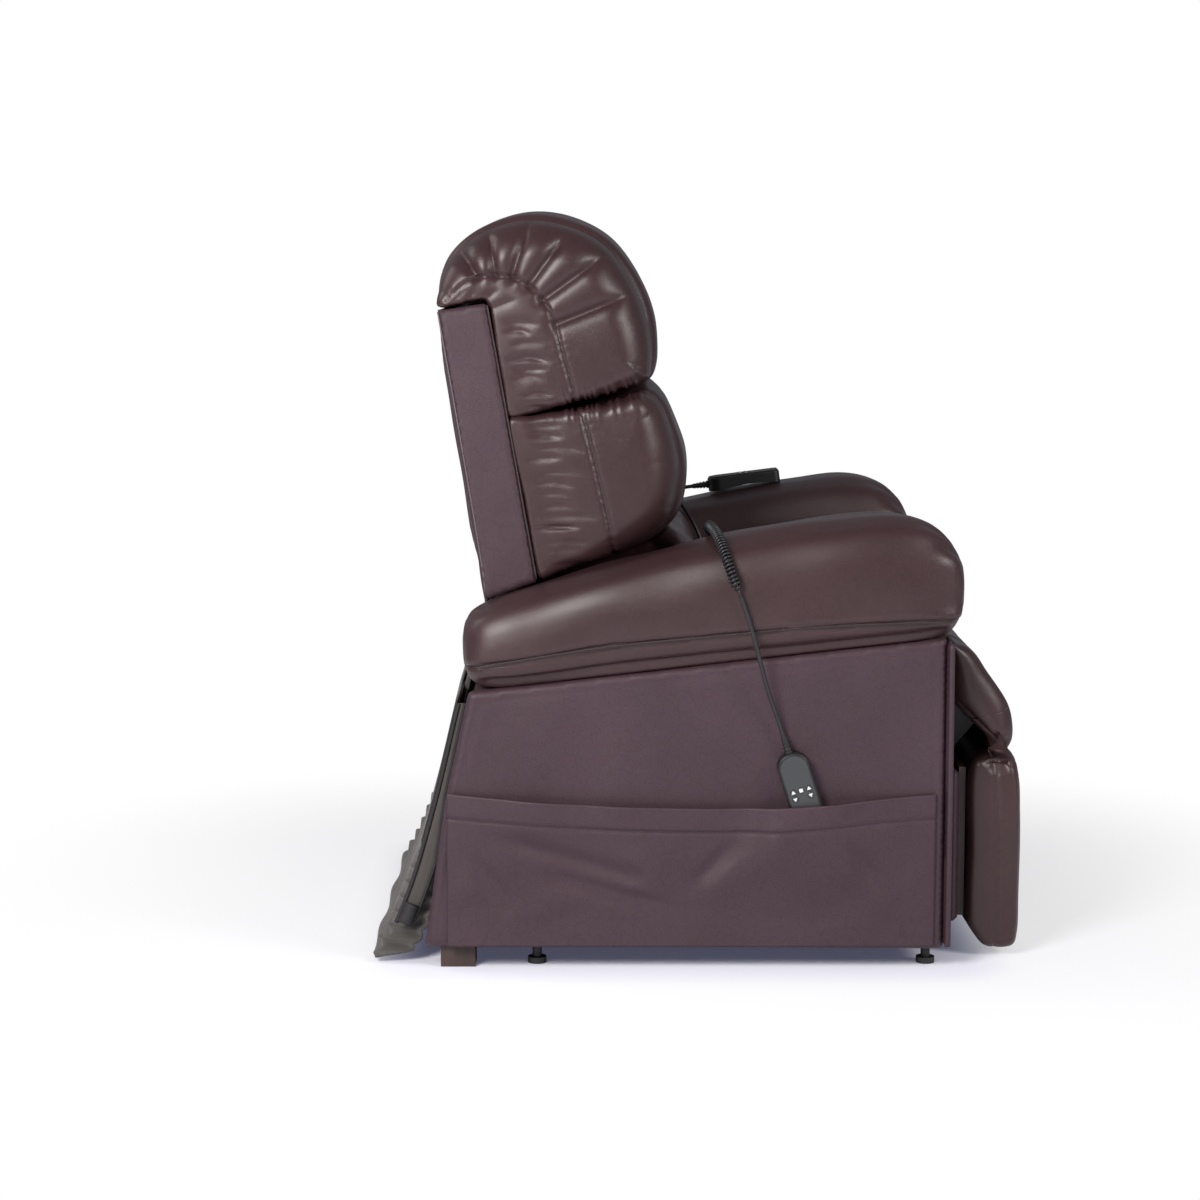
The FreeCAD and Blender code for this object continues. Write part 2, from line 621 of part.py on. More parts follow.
def make_arms():
    """Arm frame, arm pad, side panel and front facing of each side."""
    panel_outline = [("panel_rear_y", "panel_bottom + 1"), ("panel_front_y", "panel_bottom - 2"),
                     ("panel_front_y", f"{underside('panel_front_y')} - seat_gap"),
                     ("panel_top_y", f"{underside('panel_top_y')} - seat_gap"),
                     ("panel_mid_y", "panel_mid_z")]
    pieces = {
        "arm_frame": arm_frame(),
        "arm_pad": solid("arm_pad", arm_pad()),
        "side_panel": flat_plate("side_panel", panel_outline, "panel_outer - panel_thick", "panel_thick"),
    }
    for word, item in pieces.items():
        part(f"{word}_left", item)
        part(f"{word}_right", mirror(f"{word}_right", item))
    part("arm_facings", both_sides("arm_facings", arm_facing()))


def arm_frame():
    """Wooden box side: inner board, front and rear boards and the board under the arm pad."""
    front = "(panel_front_y + seat_gap)"
    rear = "(panel_top_y - 8)"
    outer = "(panel_outer - panel_thick - seat_gap)"
    top_front = f"{underside(front)} - seat_gap"
    top_rear = f"{underside(rear)} - seat_gap"
    inner = flat_plate("arm_inner_board", [(rear, "board_bottom"), (front, "board_bottom"),
                                           (front, top_front), (rear, top_rear)], "board_inner",
                                           "board_thick")
    top = flat_plate("arm_top_board", [(rear, f"{top_rear} - board_thick"),
                                       (front, f"{top_front} - board_thick"), (front, top_front),
                                       (rear, top_rear)], "board_inner", f"{outer} - board_inner")
    front_board = block("arm_front_board", ("board_inner", front, "board_bottom"),
                        (f"{outer} - board_inner", "board_thick", f"{top_front} - board_bottom - 4"))
    rear_board = block("arm_rear_board", ("board_inner", f"{rear} - board_thick", "board_bottom + 30"),
                       (f"{outer} - board_inner", "board_thick", f"{top_rear} - board_bottom - 32"))
    return fuse("arm_frame", [inner, top, front_board, rear_board])


def arm_facing():
    """Padded strip on the front edge of the side box."""
    front = "panel_front_y - facing_thick"
    top = f"{underside('panel_front_y')} - 4"
    strip = block("facing_strip", ("board_inner", front, "panel_bottom"),
                  ("panel_outer - board_inner", "facing_thick - seat_gap", f"{top} - panel_bottom"))
    face = number(front)
    return round_edges("arm_facing", strip, 5,
                       lambda edge: is_upright(edge) and abs(edge.CenterOfMass.y - face) < 0.1)


def arm_pad():
    """Rolled arm pad: rounded sections along the arm, drawn in at both ends."""
    rear = size("panel_top_y") + 6
    front = size("panel_front_y") - 22
    length = rear - front
    sections = [(0, 40, 58, 0.62), (0.012, 20, 90, 0.8), (0.035, 7, 112, 0.93), (0.08, 1, 128, 0.985),
                (0.15, 0, 140, 1), (0.34, 0, 165, 1), (0.55, 0, 184, 1), (0.74, 0, 191, 1),
                (0.84, 0, 190, 1), (0.90, 0, 180, 0.995), (0.945, 3, 159, 0.975), (0.975, 9, 131, 0.92),
                (0.992, 23, 98, 0.82), (1, 40, 68, 0.68)]
    wires = []
    for share, lift, height, width in sections:
        y = rear - share * length
        wires.append(arm_section(y, number(underside(str(y))) + lift, height, width))
    return Part.makeLoft(wires, True, False)


def arm_section(y, low, height, width):
    """One section of the arm pad: flat below, full at both sides and round on top."""
    outer = size("arm_outer")
    inner = size("arm_inner")
    middle = (outer + inner) / 2
    half = (outer - inner) / 2 * width
    right_side = [(0.97, 0.28), (0.985, 0.56), (0.86, 0.84), (0.42, 0.985), (0, 1)]
    left_side = [(-across, up) for across, up in reversed(right_side[:-1])]
    points = [(-0.78, 0), (0, -0.002), (0.78, 0)] + right_side + left_side
    return arc_loop([Vector(middle + across * half, y, low + up * height + 0.4) for across, up in points])


def make_legs():
    """A square wooden leg inside each rear corner."""
    high_x = "(panel_outer - panel_thick - seat_gap)"
    low_x = f"({high_x} - leg_block_width)"
    far_y = "leg_block_y + leg_block_length"
    corners = [(low_x, "leg_block_y"), (high_x, "leg_block_y"), (high_x, far_y), (low_x, far_y)]
    leg = padded_outline("leg_block", "XY_Plane", corners, "leg_block_height")
    part("leg_blocks", both_sides("leg_blocks", leg))


def make_pocket():
    """Leather pocket on the right side panel, its mouth standing open for the hand control."""
    rear = size("pocket_rear_y")
    front = size("pocket_front_y")
    mouth = size("pocket_open")
    hold = number("control_thick + 3.4")
    spots = [(rear, 1.0), (rear - 60, 0.7 * mouth), (rear - 300, mouth), (-90, mouth), (-116, hold),
             (-206, hold), (-262, mouth), (front + 45, 0.3 * mouth), (front, 1.0)]
    wires = [pocket_section(y, gap) for y, gap in spots]
    part("side_pocket", solid("side_pocket", Part.makeLoft(wires, True, True)))


def pocket_section(y, gap):
    """The pocket's cloth at one place: against the panel below, standing off at its mouth."""
    face = size("panel_outer") + size("seat_gap")
    cloth = size("pocket_cloth")
    low = size("panel_bottom") + 2
    top = size("pocket_top_z")
    points = [(0, low), (gap, low + 130), (gap, top), (gap + cloth, top), (gap + cloth, low + 128),
              (cloth, low)]
    corners = [Vector(-(face + out), y, z) for out, z in points]
    return Part.makePolygon(corners + [corners[0]])


# Back
STRIP_OUTLINE = [("389", "981"), ("315", "991"), ("242", "583"), ("321", "562")]
COVER_OUTLINE = [("388.5", "981"), ("381", "982"), ("312.5", "566"), ("320.5", "563")]
SKIRT_TOP = [("320.5", "562.6"), ("312.5", "565.6"), ("318", "540"), ("355.5", "410")]
SKIRT_TOP_REAR = [("363.5", "414"), ("326", "540")]
SKIRT_LOW = [("355.5", "410"), ("394", "250"), ("432", "120"), ("468", "34"), ("490", "6"),
             ("498", "8"), ("478", "40"), ("441", "124"), ("402", "254"), ("363.5", "414")]
HEAD = [(398, 992), (412, 1024), (383, 1077), (334, 1110), (265, 1129), (196, 1124), (136, 1094), (93, 1043),
        (63, 979), (56, 928), (63, 884), (80, 870), (176, 842), (235, 830), (286, 842), (300, 920),
        (312, 985), (316, 996), (340, 996), (370, 990)]
MIDDLE = [(82, 861), (50, 845), (30, 808), (14, 762), (12, 716), (22, 672), (66, 634), (120, 612),
          (178, 598), (215, 590), (237, 591), (262, 715), (284, 832), (255, 822), (236, 822), (160, 838)]
LUMBAR = [(30, 646), (4, 642), (-10, 622), (-16, 592), (-6, 552), (16, 525), (60, 516), (130, 513.5),
          (200, 516.5), (223, 523), (236, 542), (256, 557), (279.7, 567), (279.75, 575), (279.7, 583),
          (252, 581), (222, 580), (120, 602.5)]


def make_back():
    """Hinge arms, wooden frame, side strips, rear cover, pillows and rear skirt."""
    part("back_hinge_arms", back_hinge_arms())
    part("back_frame", back_frame())
    strip = flat_plate("side_strip", STRIP_OUTLINE, "back_half - side_strip_thick", "side_strip_thick")
    part("back_side_left", strip)
    part("back_side_right", mirror("back_side_right", strip))
    inside = "(back_half - side_strip_thick - seat_gap)"
    part("rear_cover", flat_plate("rear_cover", COVER_OUTLINE, f"-{inside}", f"2 * {inside}"))
    half = number("back_half - pillow_inset")
    part("head_pillow", solid("head_pillow", pillow(HEAD, half, (300, 950), PUFFED)))
    part("mid_pillow", solid("mid_pillow", pillow(MIDDLE, half, (262, 720), PUFFED)))
    lumbar_half = number("arm_inner - lumbar_side_gap")
    part("lumbar_pillow", solid("lumbar_pillow", pillow(LUMBAR, lumbar_half, (200, 560), FULL)))
    part("rear_skirt", rear_skirt())


def rear_skirt():
    """Cloth that hangs from the back's lower edge: narrow between the arms and wide below them."""
    narrow = "(arm_inner - 4)"
    wide = "(panel_outer - panel_thick - 16)"
    upper = flat_plate("skirt_upper", SKIRT_TOP + SKIRT_TOP_REAR, f"-{narrow}", f"2 * {narrow}")
    lower = flat_plate("skirt_lower", SKIRT_LOW, f"-{wide}", f"2 * {wide}")
    return fuse("rear_skirt", [upper, lower])


def back_hinge_arms():
    """Torque tube at the back's hinge, an arm up each side, and the crank."""
    hinge = ("back_y", "back_z")
    outline = [("back_y - 15", "back_z - 6"), ("back_y + 6", "back_z - 15"), ("back_y + 26", "back_z + 40"),
               ("291", "440"), ("308", "560"), ("286", "564"), ("262", "440")]
    arm = flat_plate("back_arm", outline, OUTER_LINK, "plate_thick")
    boss = round_bar("back_arm_boss", "shaft_radius + 6", OUTER_LINK, "plate_thick", *hinge)
    side = fuse("back_arm_side", [arm, boss])
    return fuse("back_hinge_arms", [side, mirror("back_arm_other", side), shaft("back_shaft", *hinge),
                                    crank("back_crank", hinge, ("back_crank_y", "back_crank_z"))])


def back_frame():
    """Two wooden posts and four cross rails inside the back."""
    outline = [("252", "360"), ("284", "360"), ("368", "974"), ("332", "978"), ("262", "420")]
    upright = flat_plate("back_post", outline, f"{OUTER_LINK} - seat_gap - post_width", "post_width")
    inner = f"({OUTER_LINK} - seat_gap - post_width)"
    rails = []
    for index, (y, z) in enumerate(((264, 430), (284, 570), (312, 770), (338, 946))):
        rails.append(block(f"back_rail_{index}", (f"-{inner} - 2", f"{y} - 4", str(z)),
                           (f"2 * {inner} + 4", "22", "28")))
    return fuse("back_frame", [upright, mirror("back_other_post", upright)] + rails)


# Legrest
def make_legrest():
    """Links with torque tube and crank, braces, brackets, board and the three pads."""
    hinge = ("legrest_y", "legrest_z")
    knee = ("knee_y", "knee_z")
    end = ("brace_end_y", "brace_end_z")
    bar = link_bar("legrest_bar", INNER_LINK, hinge, knee)
    side = fuse("legrest_side", [bar, pin("knee_pin", INNER_PIN_START, *knee)])
    shaft_end = "(plate_x + plate_thick + layer_gap / 2)"
    tube = round_bar("legrest_shaft", "shaft_radius", f"-{shaft_end}", f"2 * {shaft_end}", *hinge)
    part("legrest_links", fuse("legrest_links", [
        side, mirror("legrest_other", side), tube,
        crank("legrest_crank", hinge, ("leg_crank_y", "leg_crank_z"))]))
    brace = link_bar("brace_bar", OUTER_LINK, ("brace_y", "brace_z"), end)
    pins = [pin("brace_pin", OUTER_PIN_START, "brace_y", "brace_z"),
            pin("brace_end_pin", OUTER_PIN_START, *end)]
    part("legrest_braces", both_sides("legrest_braces", fuse("brace_side", [brace] + pins)))
    part("ottoman_brackets", both_sides("ottoman_brackets", ottoman_bracket()))
    part("ottoman_board", block("ottoman_board",
                                ("-legrest_board_half", "board_face_y - legrest_board_thick", "board_low_z"),
                                ("2 * legrest_board_half", "legrest_board_thick",
                                 "board_high_z - board_low_z")))
    front = size("board_face_y") - size("legrest_board_thick") - size("seat_gap")
    part("ottoman_pad", solid("ottoman_pad", pillow(ottoman_outline(front), size("pad_half"),
                                                    (front, 168), PUFFED)))
    part("lower_pad", solid("lower_pad", lower_pad()))
    part("bridge_pad", solid("bridge_pad", bridge_pad()))


def ottoman_bracket():
    """Plate with the knee and brace pivots, its foot on the board's rear face."""
    face = "(board_face_y + seat_gap)"
    outline = [(face, "board_high_z - 80"), (f"{face} + foot_thick", "board_high_z - 80"),
               (f"{face} + foot_thick", "knee_z - 30"), ("brace_end_y + 16", "brace_end_z - 12"),
               ("brace_end_y + 16", "brace_end_z + 12"), ("brace_end_y - 6", "brace_end_z + 17"),
               ("knee_y - 16", "knee_z + 16"), ("knee_y - 16", "knee_z - 16"), (face, "board_high_z + 16")]
    holes = [("knee_y", "knee_z", PIN_HOLE), ("brace_end_y", "brace_end_z", f"{OPEN_HOLE} + 0.8")]
    plate = flat_plate("ottoman_bracket", outline, "plate_x", "plate_thick", holes)
    foot = block("bracket_foot", ("plate_x - 24", face, "board_high_z - 80"), ("24.5", "foot_thick", "70"))
    return fuse("ottoman_bracket_side", [plate, foot])


def ottoman_outline(rear):
    """Side outline of the main pad, its rear face flat on the board."""
    return [(rear, 60), (rear + 0.1, 170), (rear, 280), (rear - 6, 300), (rear - 24, 312), (rear - 56, 308),
            (rear - 74, 286), (rear - 84, 230), (rear - 85, 166), (rear - 82, 90), (rear - 71, 30),
            (rear - 64, 20), (rear - 52, 19), (rear - 34, 21), (rear - 22, 28), (rear - 8, 44)]


def lower_pad():
    """Thin pad behind the board, notched for the brackets' feet."""
    face = number("board_face_y + seat_gap")
    outline = [(face, 60), (face + 0.2, 170), (face, 282), (face + 5, 289), (face + 10, 284),
               (face + 16, 170), (face + 10, 56), (face + 5, 51)]
    half = size("pad_half") - 4
    pad = pillow(outline, half, (face, 170), FULL)
    pad = pad.cut(Part.makeBox(2 * half, 20, 300, Vector(-half, face - 20, 20)))
    wide = size("plate_thick") + 28
    for low_x in (size("plate_x") - 26, -size("plate_x") + 26 - wide):
        notch = Part.makeBox(wide, 40, 100, Vector(low_x, face - 10, number("board_high_z - 83")))
        pad = pad.cut(notch)
    return pad


BRIDGE_FRONT = [(-386, 484), (-412, 468), (-440, 432), (-466, 392), (-476, 356), (-474, 330), (-462, 322)]
BRIDGE_TONGUE = [(-336.2, 472), (-358, 482)]
BRIDGE_UNDER = [(-456, 330), (-456, 356), (-446, 390), (-424, 424), (-402, 444), (-376, 456), (-350, 460),
                (-338, 461), (-336.4, 466)]
BRIDGE_END = [(-430, 330), (-400, 346), (-388, 360), (-386, 376), (-383, 410), (-382, 436), (-380, 474)]


def bridge_pad():
    """Pad from the seat's front edge over the knee to the ottoman, with deeper ends beside the seat."""
    half = size("pad_half")
    inner = size("arm_inner") - 4
    thin = BRIDGE_TONGUE + BRIDGE_FRONT + BRIDGE_UNDER
    deep = BRIDGE_FRONT + BRIDGE_END
    pieces = [loft_between(thin, -inner, inner), loft_between(deep, inner, half),
              loft_between(deep, -half, -inner)]
    return pieces[0].multiFuse(pieces[1:]).removeSplitter()


def loft_between(outline, low_x, high_x):
    """A straight loft of one side outline between two places across the chair."""
    wires = [arc_loop([Vector(x, y, z) for y, z in outline]) for x in (low_x, high_x)]
    return Part.makeLoft(wires, True, True)


# Hand controls
def control_frame(origin, slope, face):
    """Place of a hand control, made with its cord end at the origin, its length along +Y and its face up.

    origin is the cord end's place, slope the direction of its length, face the way its buttons look.
    """
    across = slope.cross(face)
    return FreeCAD.Placement(origin, FreeCAD.Rotation(across, slope, face, "ZYX"))


def button_spots():
    """Places of the five buttons: a pair at each side and one between them."""
    across = size("button_across")
    along = size("button_along")
    rows = {"up": along - size("button_pitch") / 2, "down": along + size("button_pitch") / 2}
    spots = {f"{side}_{row}": (sign * across, place)
             for side, sign in (("left", -1), ("right", 1)) for row, place in rows.items()}
    spots["middle"] = (0, rows["up"])
    return spots


def control_case():
    """Casing of a hand control: round cord end, arched underside and a well for each button."""
    width = size("control_width")
    length = size("control_length")
    thick = size("control_thick")
    end_radius = width / 2 - 2
    case = Part.makeBox(width, length, thick, Vector(-width / 2, 0, -thick / 2))
    upright = [edge for edge in case.Edges if is_upright(edge)]
    case = case.makeFillet(end_radius, [edge for edge in upright if edge.CenterOfMass.y < 1])
    far_end = [edge for edge in case.Edges if is_upright(edge) and edge.CenterOfMass.y > length - 1]
    case = case.makeFillet(9, far_end)
    arch_radius = 290
    arch = Part.makeCylinder(arch_radius, 2 * width,
                             Vector(-width, 0.64 * length, -thick / 2 + 6 - arch_radius), Vector(1, 0, 0))
    case = case.cut(arch)
    case = case.makeFillet(3.5, [edge for edge in case.Edges if edge.BoundBox.ZMin > thick / 2 - 0.01])
    for across, along in button_spots().values():
        well = Part.makeCylinder(size("button_radius") + size("seat_gap"), size("button_height"),
                                 Vector(across, along, thick / 2 - size("button_height")))
        case = case.cut(well)
    return case


def button_cap(across, along):
    """One button, standing proud of the face by its travel."""
    radius = size("button_radius")
    height = size("button_height")
    low = size("control_thick") / 2 - height + size("button_travel") + size("seat_gap")
    cap = Part.makeCylinder(radius, height, Vector(across, along, low))
    return cap.makeFillet(0.8, [edge for edge in cap.Edges if edge.BoundBox.ZMin > low + height - 0.01])


def strain_relief():
    """Tapered sleeve of rings between the casing and the cord."""
    length = size("relief_length")
    thin = size("lead_diameter") / 2
    rings = 5
    pitch = length / rings
    backward = Vector(0, -1, 0)
    core = Part.makeCone(thin + 1.8, thin + 0.3, length, Vector(0, 0, 0), backward)
    discs = [Part.makeCylinder(thin + 3.4 - 0.55 * index, 0.62 * pitch, Vector(0, -index * pitch, 0),
                               backward)
             for index in range(rings)]
    return core.multiFuse(discs)


def make_control(word, place):
    """One hand control: casing and its five buttons. Its strain relief is returned."""
    pieces = {"control_case": control_case()}
    for name, (across, along) in button_spots().items():
        pieces[f"button_{name}"] = button_cap(across, along)
    for name, shape in pieces.items():
        item = solid(f"{word}_{name}", shape)
        item.Placement = place
        part(f"{word}_{name}", item)
    relief = solid(f"{word}_strain_relief", strain_relief())
    relief.Placement = place
    return relief


def make_controls():
    """The right control stands in the side pocket, and the left one lies on the left arm."""
    tilt = math.radians(18)
    middle_x = size("panel_outer") + 2 * size("seat_gap") + size("control_thick") / 2
    near = control_frame(Vector(-middle_x, -131, 331.6), Vector(0, -math.sin(tilt), -math.cos(tilt)),
                         Vector(-1, 0, 0))
    near_relief = make_control("right", near)
    rise = math.radians(7.2)
    slope = Vector(0, -math.cos(rise), math.sin(rise))
    far = control_frame(Vector(365, -41.4, 675), slope, Vector(0, math.sin(rise), math.cos(rise)))
    case = control_case()
    case.Placement = far
    arm = [item.Shape for item in PARTS if item.Label == "arm_pad_left"][0]
    far.Base.z -= case.distToShape(arm)[0] - size("seat_gap")
    far_relief = make_control("left", far)
    part("strain_reliefs", group("strain_reliefs", [near_relief, far_relief]))
    return near, far


# Cords
NEAR_COIL = [(-253, -42, 522), (-253, -40, 556), (-258, -34, 592), (-275, -26, 628), (-307, -17, 651),
             (-345, -14, 660), (-384, -18, 661), (-425, -26, 651), (-458, -36, 626), (-473, -47, 593),
             (-472, -57, 568)]
NEAR_LEAD = [(-470, -66, 544), (-468, -77, 508), (-461, -88, 466), (-453, -98, 428)]
FAR_LEAD = [(362, 22, 655), (346, 36, 652), (318, 32, 652), (290, 16, 645), (268, -4, 622),
            (257, -22, 588), (255, -32, 552), (255, -36, 518)]


def route_wire(name, points):
    """Straight runs joined by tangent arcs, each as large as its two runs allow."""
    edges = []
    last = points[0]
    radii = []
    for before, corner, after in zip(points, points[1:], points[2:]):
        inward = Vector(before - corner)
        outward = Vector(after - corner)
        reach = 0.45 * min(inward.Length, outward.Length)
        turn = math.pi - inward.getAngle(outward)
        radii.append(reach / math.tan(turn / 2))
        start = corner + inward.normalize() * reach
        end = corner + outward.normalize() * reach
        chord_middle = (start + end) / 2
        pull = Vector(corner - chord_middle).normalize() * (radii[-1] * (1 - math.cos(turn / 2)))
        edges.append(Part.LineSegment(last, start).toShape())
        edges.append(Part.Arc(start, chord_middle + pull, end).toShape())
        last = end
    edges.append(Part.LineSegment(last, points[-1]).toShape())
    path = Part.Wire(edges)
    print(name, "length", round(path.Length), "mm, radii", [round(radius) for radius in radii])
    return path


def tube_along(name, path, start, direction, diameter):
    """A round tube along a wire."""
    section = Part.Wire([Part.makeCircle(diameter / 2, start, direction)])
    tube = path.makePipeShell([section], True)
    share = tube.Volume / (math.pi * diameter ** 2 / 4 * path.Length)
    print(name, "volume share", round(share, 4))
    return tube


def route_tube(name, points, diameter):
    """A plain cord along its route."""
    return tube_along(name, route_wire(name, points), points[0], points[1] - points[0], diameter)


CURL_STEPS = 16


def curl_points(path, outer, wire, pitch):
    """Points of a curly cord round a path, its ends drawn out and in to the path's line."""
    turns = int(path.Length / pitch)
    count = CURL_STEPS * turns
    centres = path.discretize(Number=count + 1)
    straight = 1.2 * wire * CURL_STEPS / pitch
    angle = 0.0
    normal = (centres[1] - centres[0]).cross(Vector(0, 0, 1) + Vector(0.3, 0.2, 0)).normalize()
    points = []
    for index, centre in enumerate(centres):
        along = (centres[min(index + 1, count)] - centres[max(index - 1, 0)]).normalize()
        normal = (normal - along * normal.dot(along)).normalize()
        side = along.cross(normal)
        nearest_end = min(index, count - index)
        share = max(0.0, min(1.0, (nearest_end - straight) / (3 * CURL_STEPS)))
        radius = (outer - wire) / 2 * share ** 2 * (3 - 2 * share)
        angle += 2 * math.pi / CURL_STEPS * (0.3 + 0.7 * share)
        points.append(centre + normal * (radius * math.cos(angle)) + side * (radius * math.sin(angle)))
    return points


def half_biarc(start, tangent, end):
    """The arc that leaves one point along a tangent and ends in another."""
    chord = end - start
    angle = tangent.getAngle(chord)
    if angle < 0.002:
        return Part.LineSegment(start, end).toShape()
    unit = Vector(chord).normalize()
    bulge = (tangent - unit * tangent.dot(unit)).normalize() * (chord.Length / 2 * math.tan(angle / 2))
    return Part.Arc(start, (start + end) / 2 + bulge, end).toShape()


def biarcs(points, tangents):
    """A smooth wire of two arcs between each point and the next."""
    edges = []
    for start, end, first, last in zip(points, points[1:], tangents, tangents[1:]):
        gap = end - start
        both = gap.dot(first + last)
        bend = 2 * (1 - first.dot(last))
        if bend < 1e-6:
            reach = gap.Length ** 2 / (4 * gap.dot(last))
        else:
            reach = (-both + math.sqrt(both ** 2 + bend * gap.Length ** 2)) / bend
        joint = (start + end + (first - last) * reach) / 2
        edges.append(half_biarc(start, first, joint))
        edges.append(half_biarc(end, last * -1, joint))
    return Part.Wire(edges)


def gap_to_itself(points, wire):
    """Least gap between a wound wire's own turns, over pairs that lie three wires or more apart along it."""
    places = [0.0]
    for point, after in zip(points, points[1:]):
        places.append(places[-1] + (after - point).Length)
    nearest = math.inf
    for index, point in enumerate(points):
        for other in range(index + 1, min(index + 3 * CURL_STEPS, len(points))):
            if places[other] - places[index] > 3 * wire:
                nearest = min(nearest, (points[other] - point).Length)
    return nearest - wire


def curly_tube(name, points, outer, wire, pitch):
    """A curly cord: one wire wound round its route in open curls."""
    fine = curl_points(route_wire(name, points), outer, wire, pitch)
    last = len(fine) - 1
    quarter = CURL_STEPS // 4
    picks = range(0, last + 1, quarter)
    tangents = [(fine[min(index + 1, last)] - fine[max(index - 1, 0)]).normalize() for index in picks]
    print(name, "curls", last // CURL_STEPS, "least gap to itself", round(gap_to_itself(fine, wire), 2), "mm")
    path = biarcs([fine[index] for index in picks], tangents)
    return tube_along(name, path, fine[0], fine[1] - fine[0], wire)


def make_cords(near, far):
    """The curly and straight stretches of both hand controls' cords."""
    gap = size("relief_length")
    near_tip = near.multVec(Vector(0, -gap, 0))
    far_tip = far.multVec(Vector(0, -gap, 0))
    near_coil = [Vector(*point) for point in NEAR_COIL]
    lead = [Vector(*point) for point in NEAR_LEAD]
    away = near_tip - near.multVec(Vector(0, 0, 0))
    straight = [near_coil[-1]] + lead + [near_tip + away * 0.8, near_tip]
    curls = curly_tube("right_cord_coil", near_coil, size("curl_diameter"), size("curl_wire"),
                       size("curl_pitch"))
    part("right_cord_coil", solid("right_cord_coil", curls))
    part("right_cord_lead", solid("right_cord_lead",
                                  route_tube("right_cord_lead", straight, size("lead_diameter"))))
    away = far_tip - far.multVec(Vector(0, 0, 0))
    far_route = [far_tip, far_tip + away * 0.7] + [Vector(*point) for point in FAR_LEAD]
    part("left_cord_lead", solid("left_cord_lead",
                                 route_tube("left_cord_lead", far_route, size("lead_diameter"))))


def check_and_write():
    """Check every object, then write each part to its own file."""
    doc.recompute()
    for item in doc.Objects:
        if "Invalid" in item.State or "Error" in item.State:
            raise ValueError(f"{item.Label} didn't build: {item.State}")
    os.makedirs("parts", exist_ok=True)
    for item in PARTS:
        shape = item.Shape
        if shape.isNull() or not shape.isValid() or not shape.Solids:
            raise ValueError(f"{item.Label} has no valid solid")
        shape.exportStep(f"parts/{item.Label}.step")
        print(item.Label, len(shape.Solids), "solids", round(shape.Volume / 1000), "cm3")


fill_sheet()
make_base()
make_lift_links()
make_actuators()
make_mechanism()
make_seat()
make_arms()
make_legs()
make_pocket()
make_back()
make_legrest()
make_cords(*make_controls())
check_and_write()
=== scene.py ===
"""Looks of a lift recliner chair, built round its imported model.

Lengths are metres in the model's frame: +Z is up, the sitter looks towards -Y and +X is the sitter's left.
"""
import json
import logging
import math
from dataclasses import dataclass
from enum import Enum
from typing import Any, Callable, Iterable, Optional, Sequence, Union

import bmesh
import bpy
import numpy as np
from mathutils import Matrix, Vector
from mathutils.bvhtree import BVHTree
from mathutils.geometry import delaunay_2d_cdt


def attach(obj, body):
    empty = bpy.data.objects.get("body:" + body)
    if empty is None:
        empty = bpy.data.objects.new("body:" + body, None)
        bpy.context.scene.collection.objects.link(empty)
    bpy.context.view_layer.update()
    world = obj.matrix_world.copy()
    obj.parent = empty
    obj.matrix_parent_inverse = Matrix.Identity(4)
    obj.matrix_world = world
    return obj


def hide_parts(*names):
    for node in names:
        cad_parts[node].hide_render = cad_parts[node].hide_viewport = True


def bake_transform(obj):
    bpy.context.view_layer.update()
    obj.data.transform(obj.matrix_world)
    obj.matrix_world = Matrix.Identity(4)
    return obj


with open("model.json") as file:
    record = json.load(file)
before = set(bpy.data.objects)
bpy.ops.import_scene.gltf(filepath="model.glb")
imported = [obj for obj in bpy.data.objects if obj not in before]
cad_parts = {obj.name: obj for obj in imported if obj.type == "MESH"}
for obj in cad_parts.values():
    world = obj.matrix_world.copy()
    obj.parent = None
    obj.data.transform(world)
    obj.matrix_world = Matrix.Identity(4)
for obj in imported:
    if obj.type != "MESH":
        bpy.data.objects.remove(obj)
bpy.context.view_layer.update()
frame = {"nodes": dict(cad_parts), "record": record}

Array = np.ndarray
Point = Sequence[float]
Screen = tuple[int, int, int]
log = logging.getLogger("chair")

NEAR, FAR = -1, 1
SIDES = ((NEAR, "right"), (FAR, "left"))
TINY = 1e-9
LEVEL = 1e-12
SNAP = 1e-7
CURVE_STEPS = 24
WAVES = 9
SWELL_PRESSURE = 4.0
SWELL_FRAMES = 20
WHITE = (1.0, 1.0, 1.0, 1.0)


# Shader building
def arithmetic(operation: str, reflected: bool = False) -> Callable[["Wire", "Number"], "Wire"]:
    """Make a method of Wire that adds one Math node.

    Args:
        operation: what the node works out.
        reflected: whether the wire is the second value.

    Returns:
        The method.
    """
    def method(self: "Wire", other: "Number") -> "Wire":
        """Join both values to a new node."""
        first, second = (other, self) if reflected else (self, other)
        return self.graph.node("Math", {"operation": operation}, {0: first, 1: second})
    return method


class Wire:
    """One output of a material's nodes. Arithmetic on it adds Math nodes."""

    def __init__(self, graph: "Graph", socket: bpy.types.NodeSocket) -> None:
        """Keep the graph and the socket."""
        self.graph = graph
        self.socket = socket

    __add__, __radd__ = arithmetic("ADD"), arithmetic("ADD", True)
    __sub__, __rsub__ = arithmetic("SUBTRACT"), arithmetic("SUBTRACT", True)
    __mul__, __rmul__ = arithmetic("MULTIPLY"), arithmetic("MULTIPLY", True)

    def eased(self, low: float, high: float) -> "Wire":
        """Smooth step from 0 at low to 1 at high."""
        inputs = {"Value": self, "From Min": low, "From Max": high}
        return self.graph.node("MapRange", {"interpolation_type": "SMOOTHSTEP"}, inputs)


Number = Union[Wire, float]


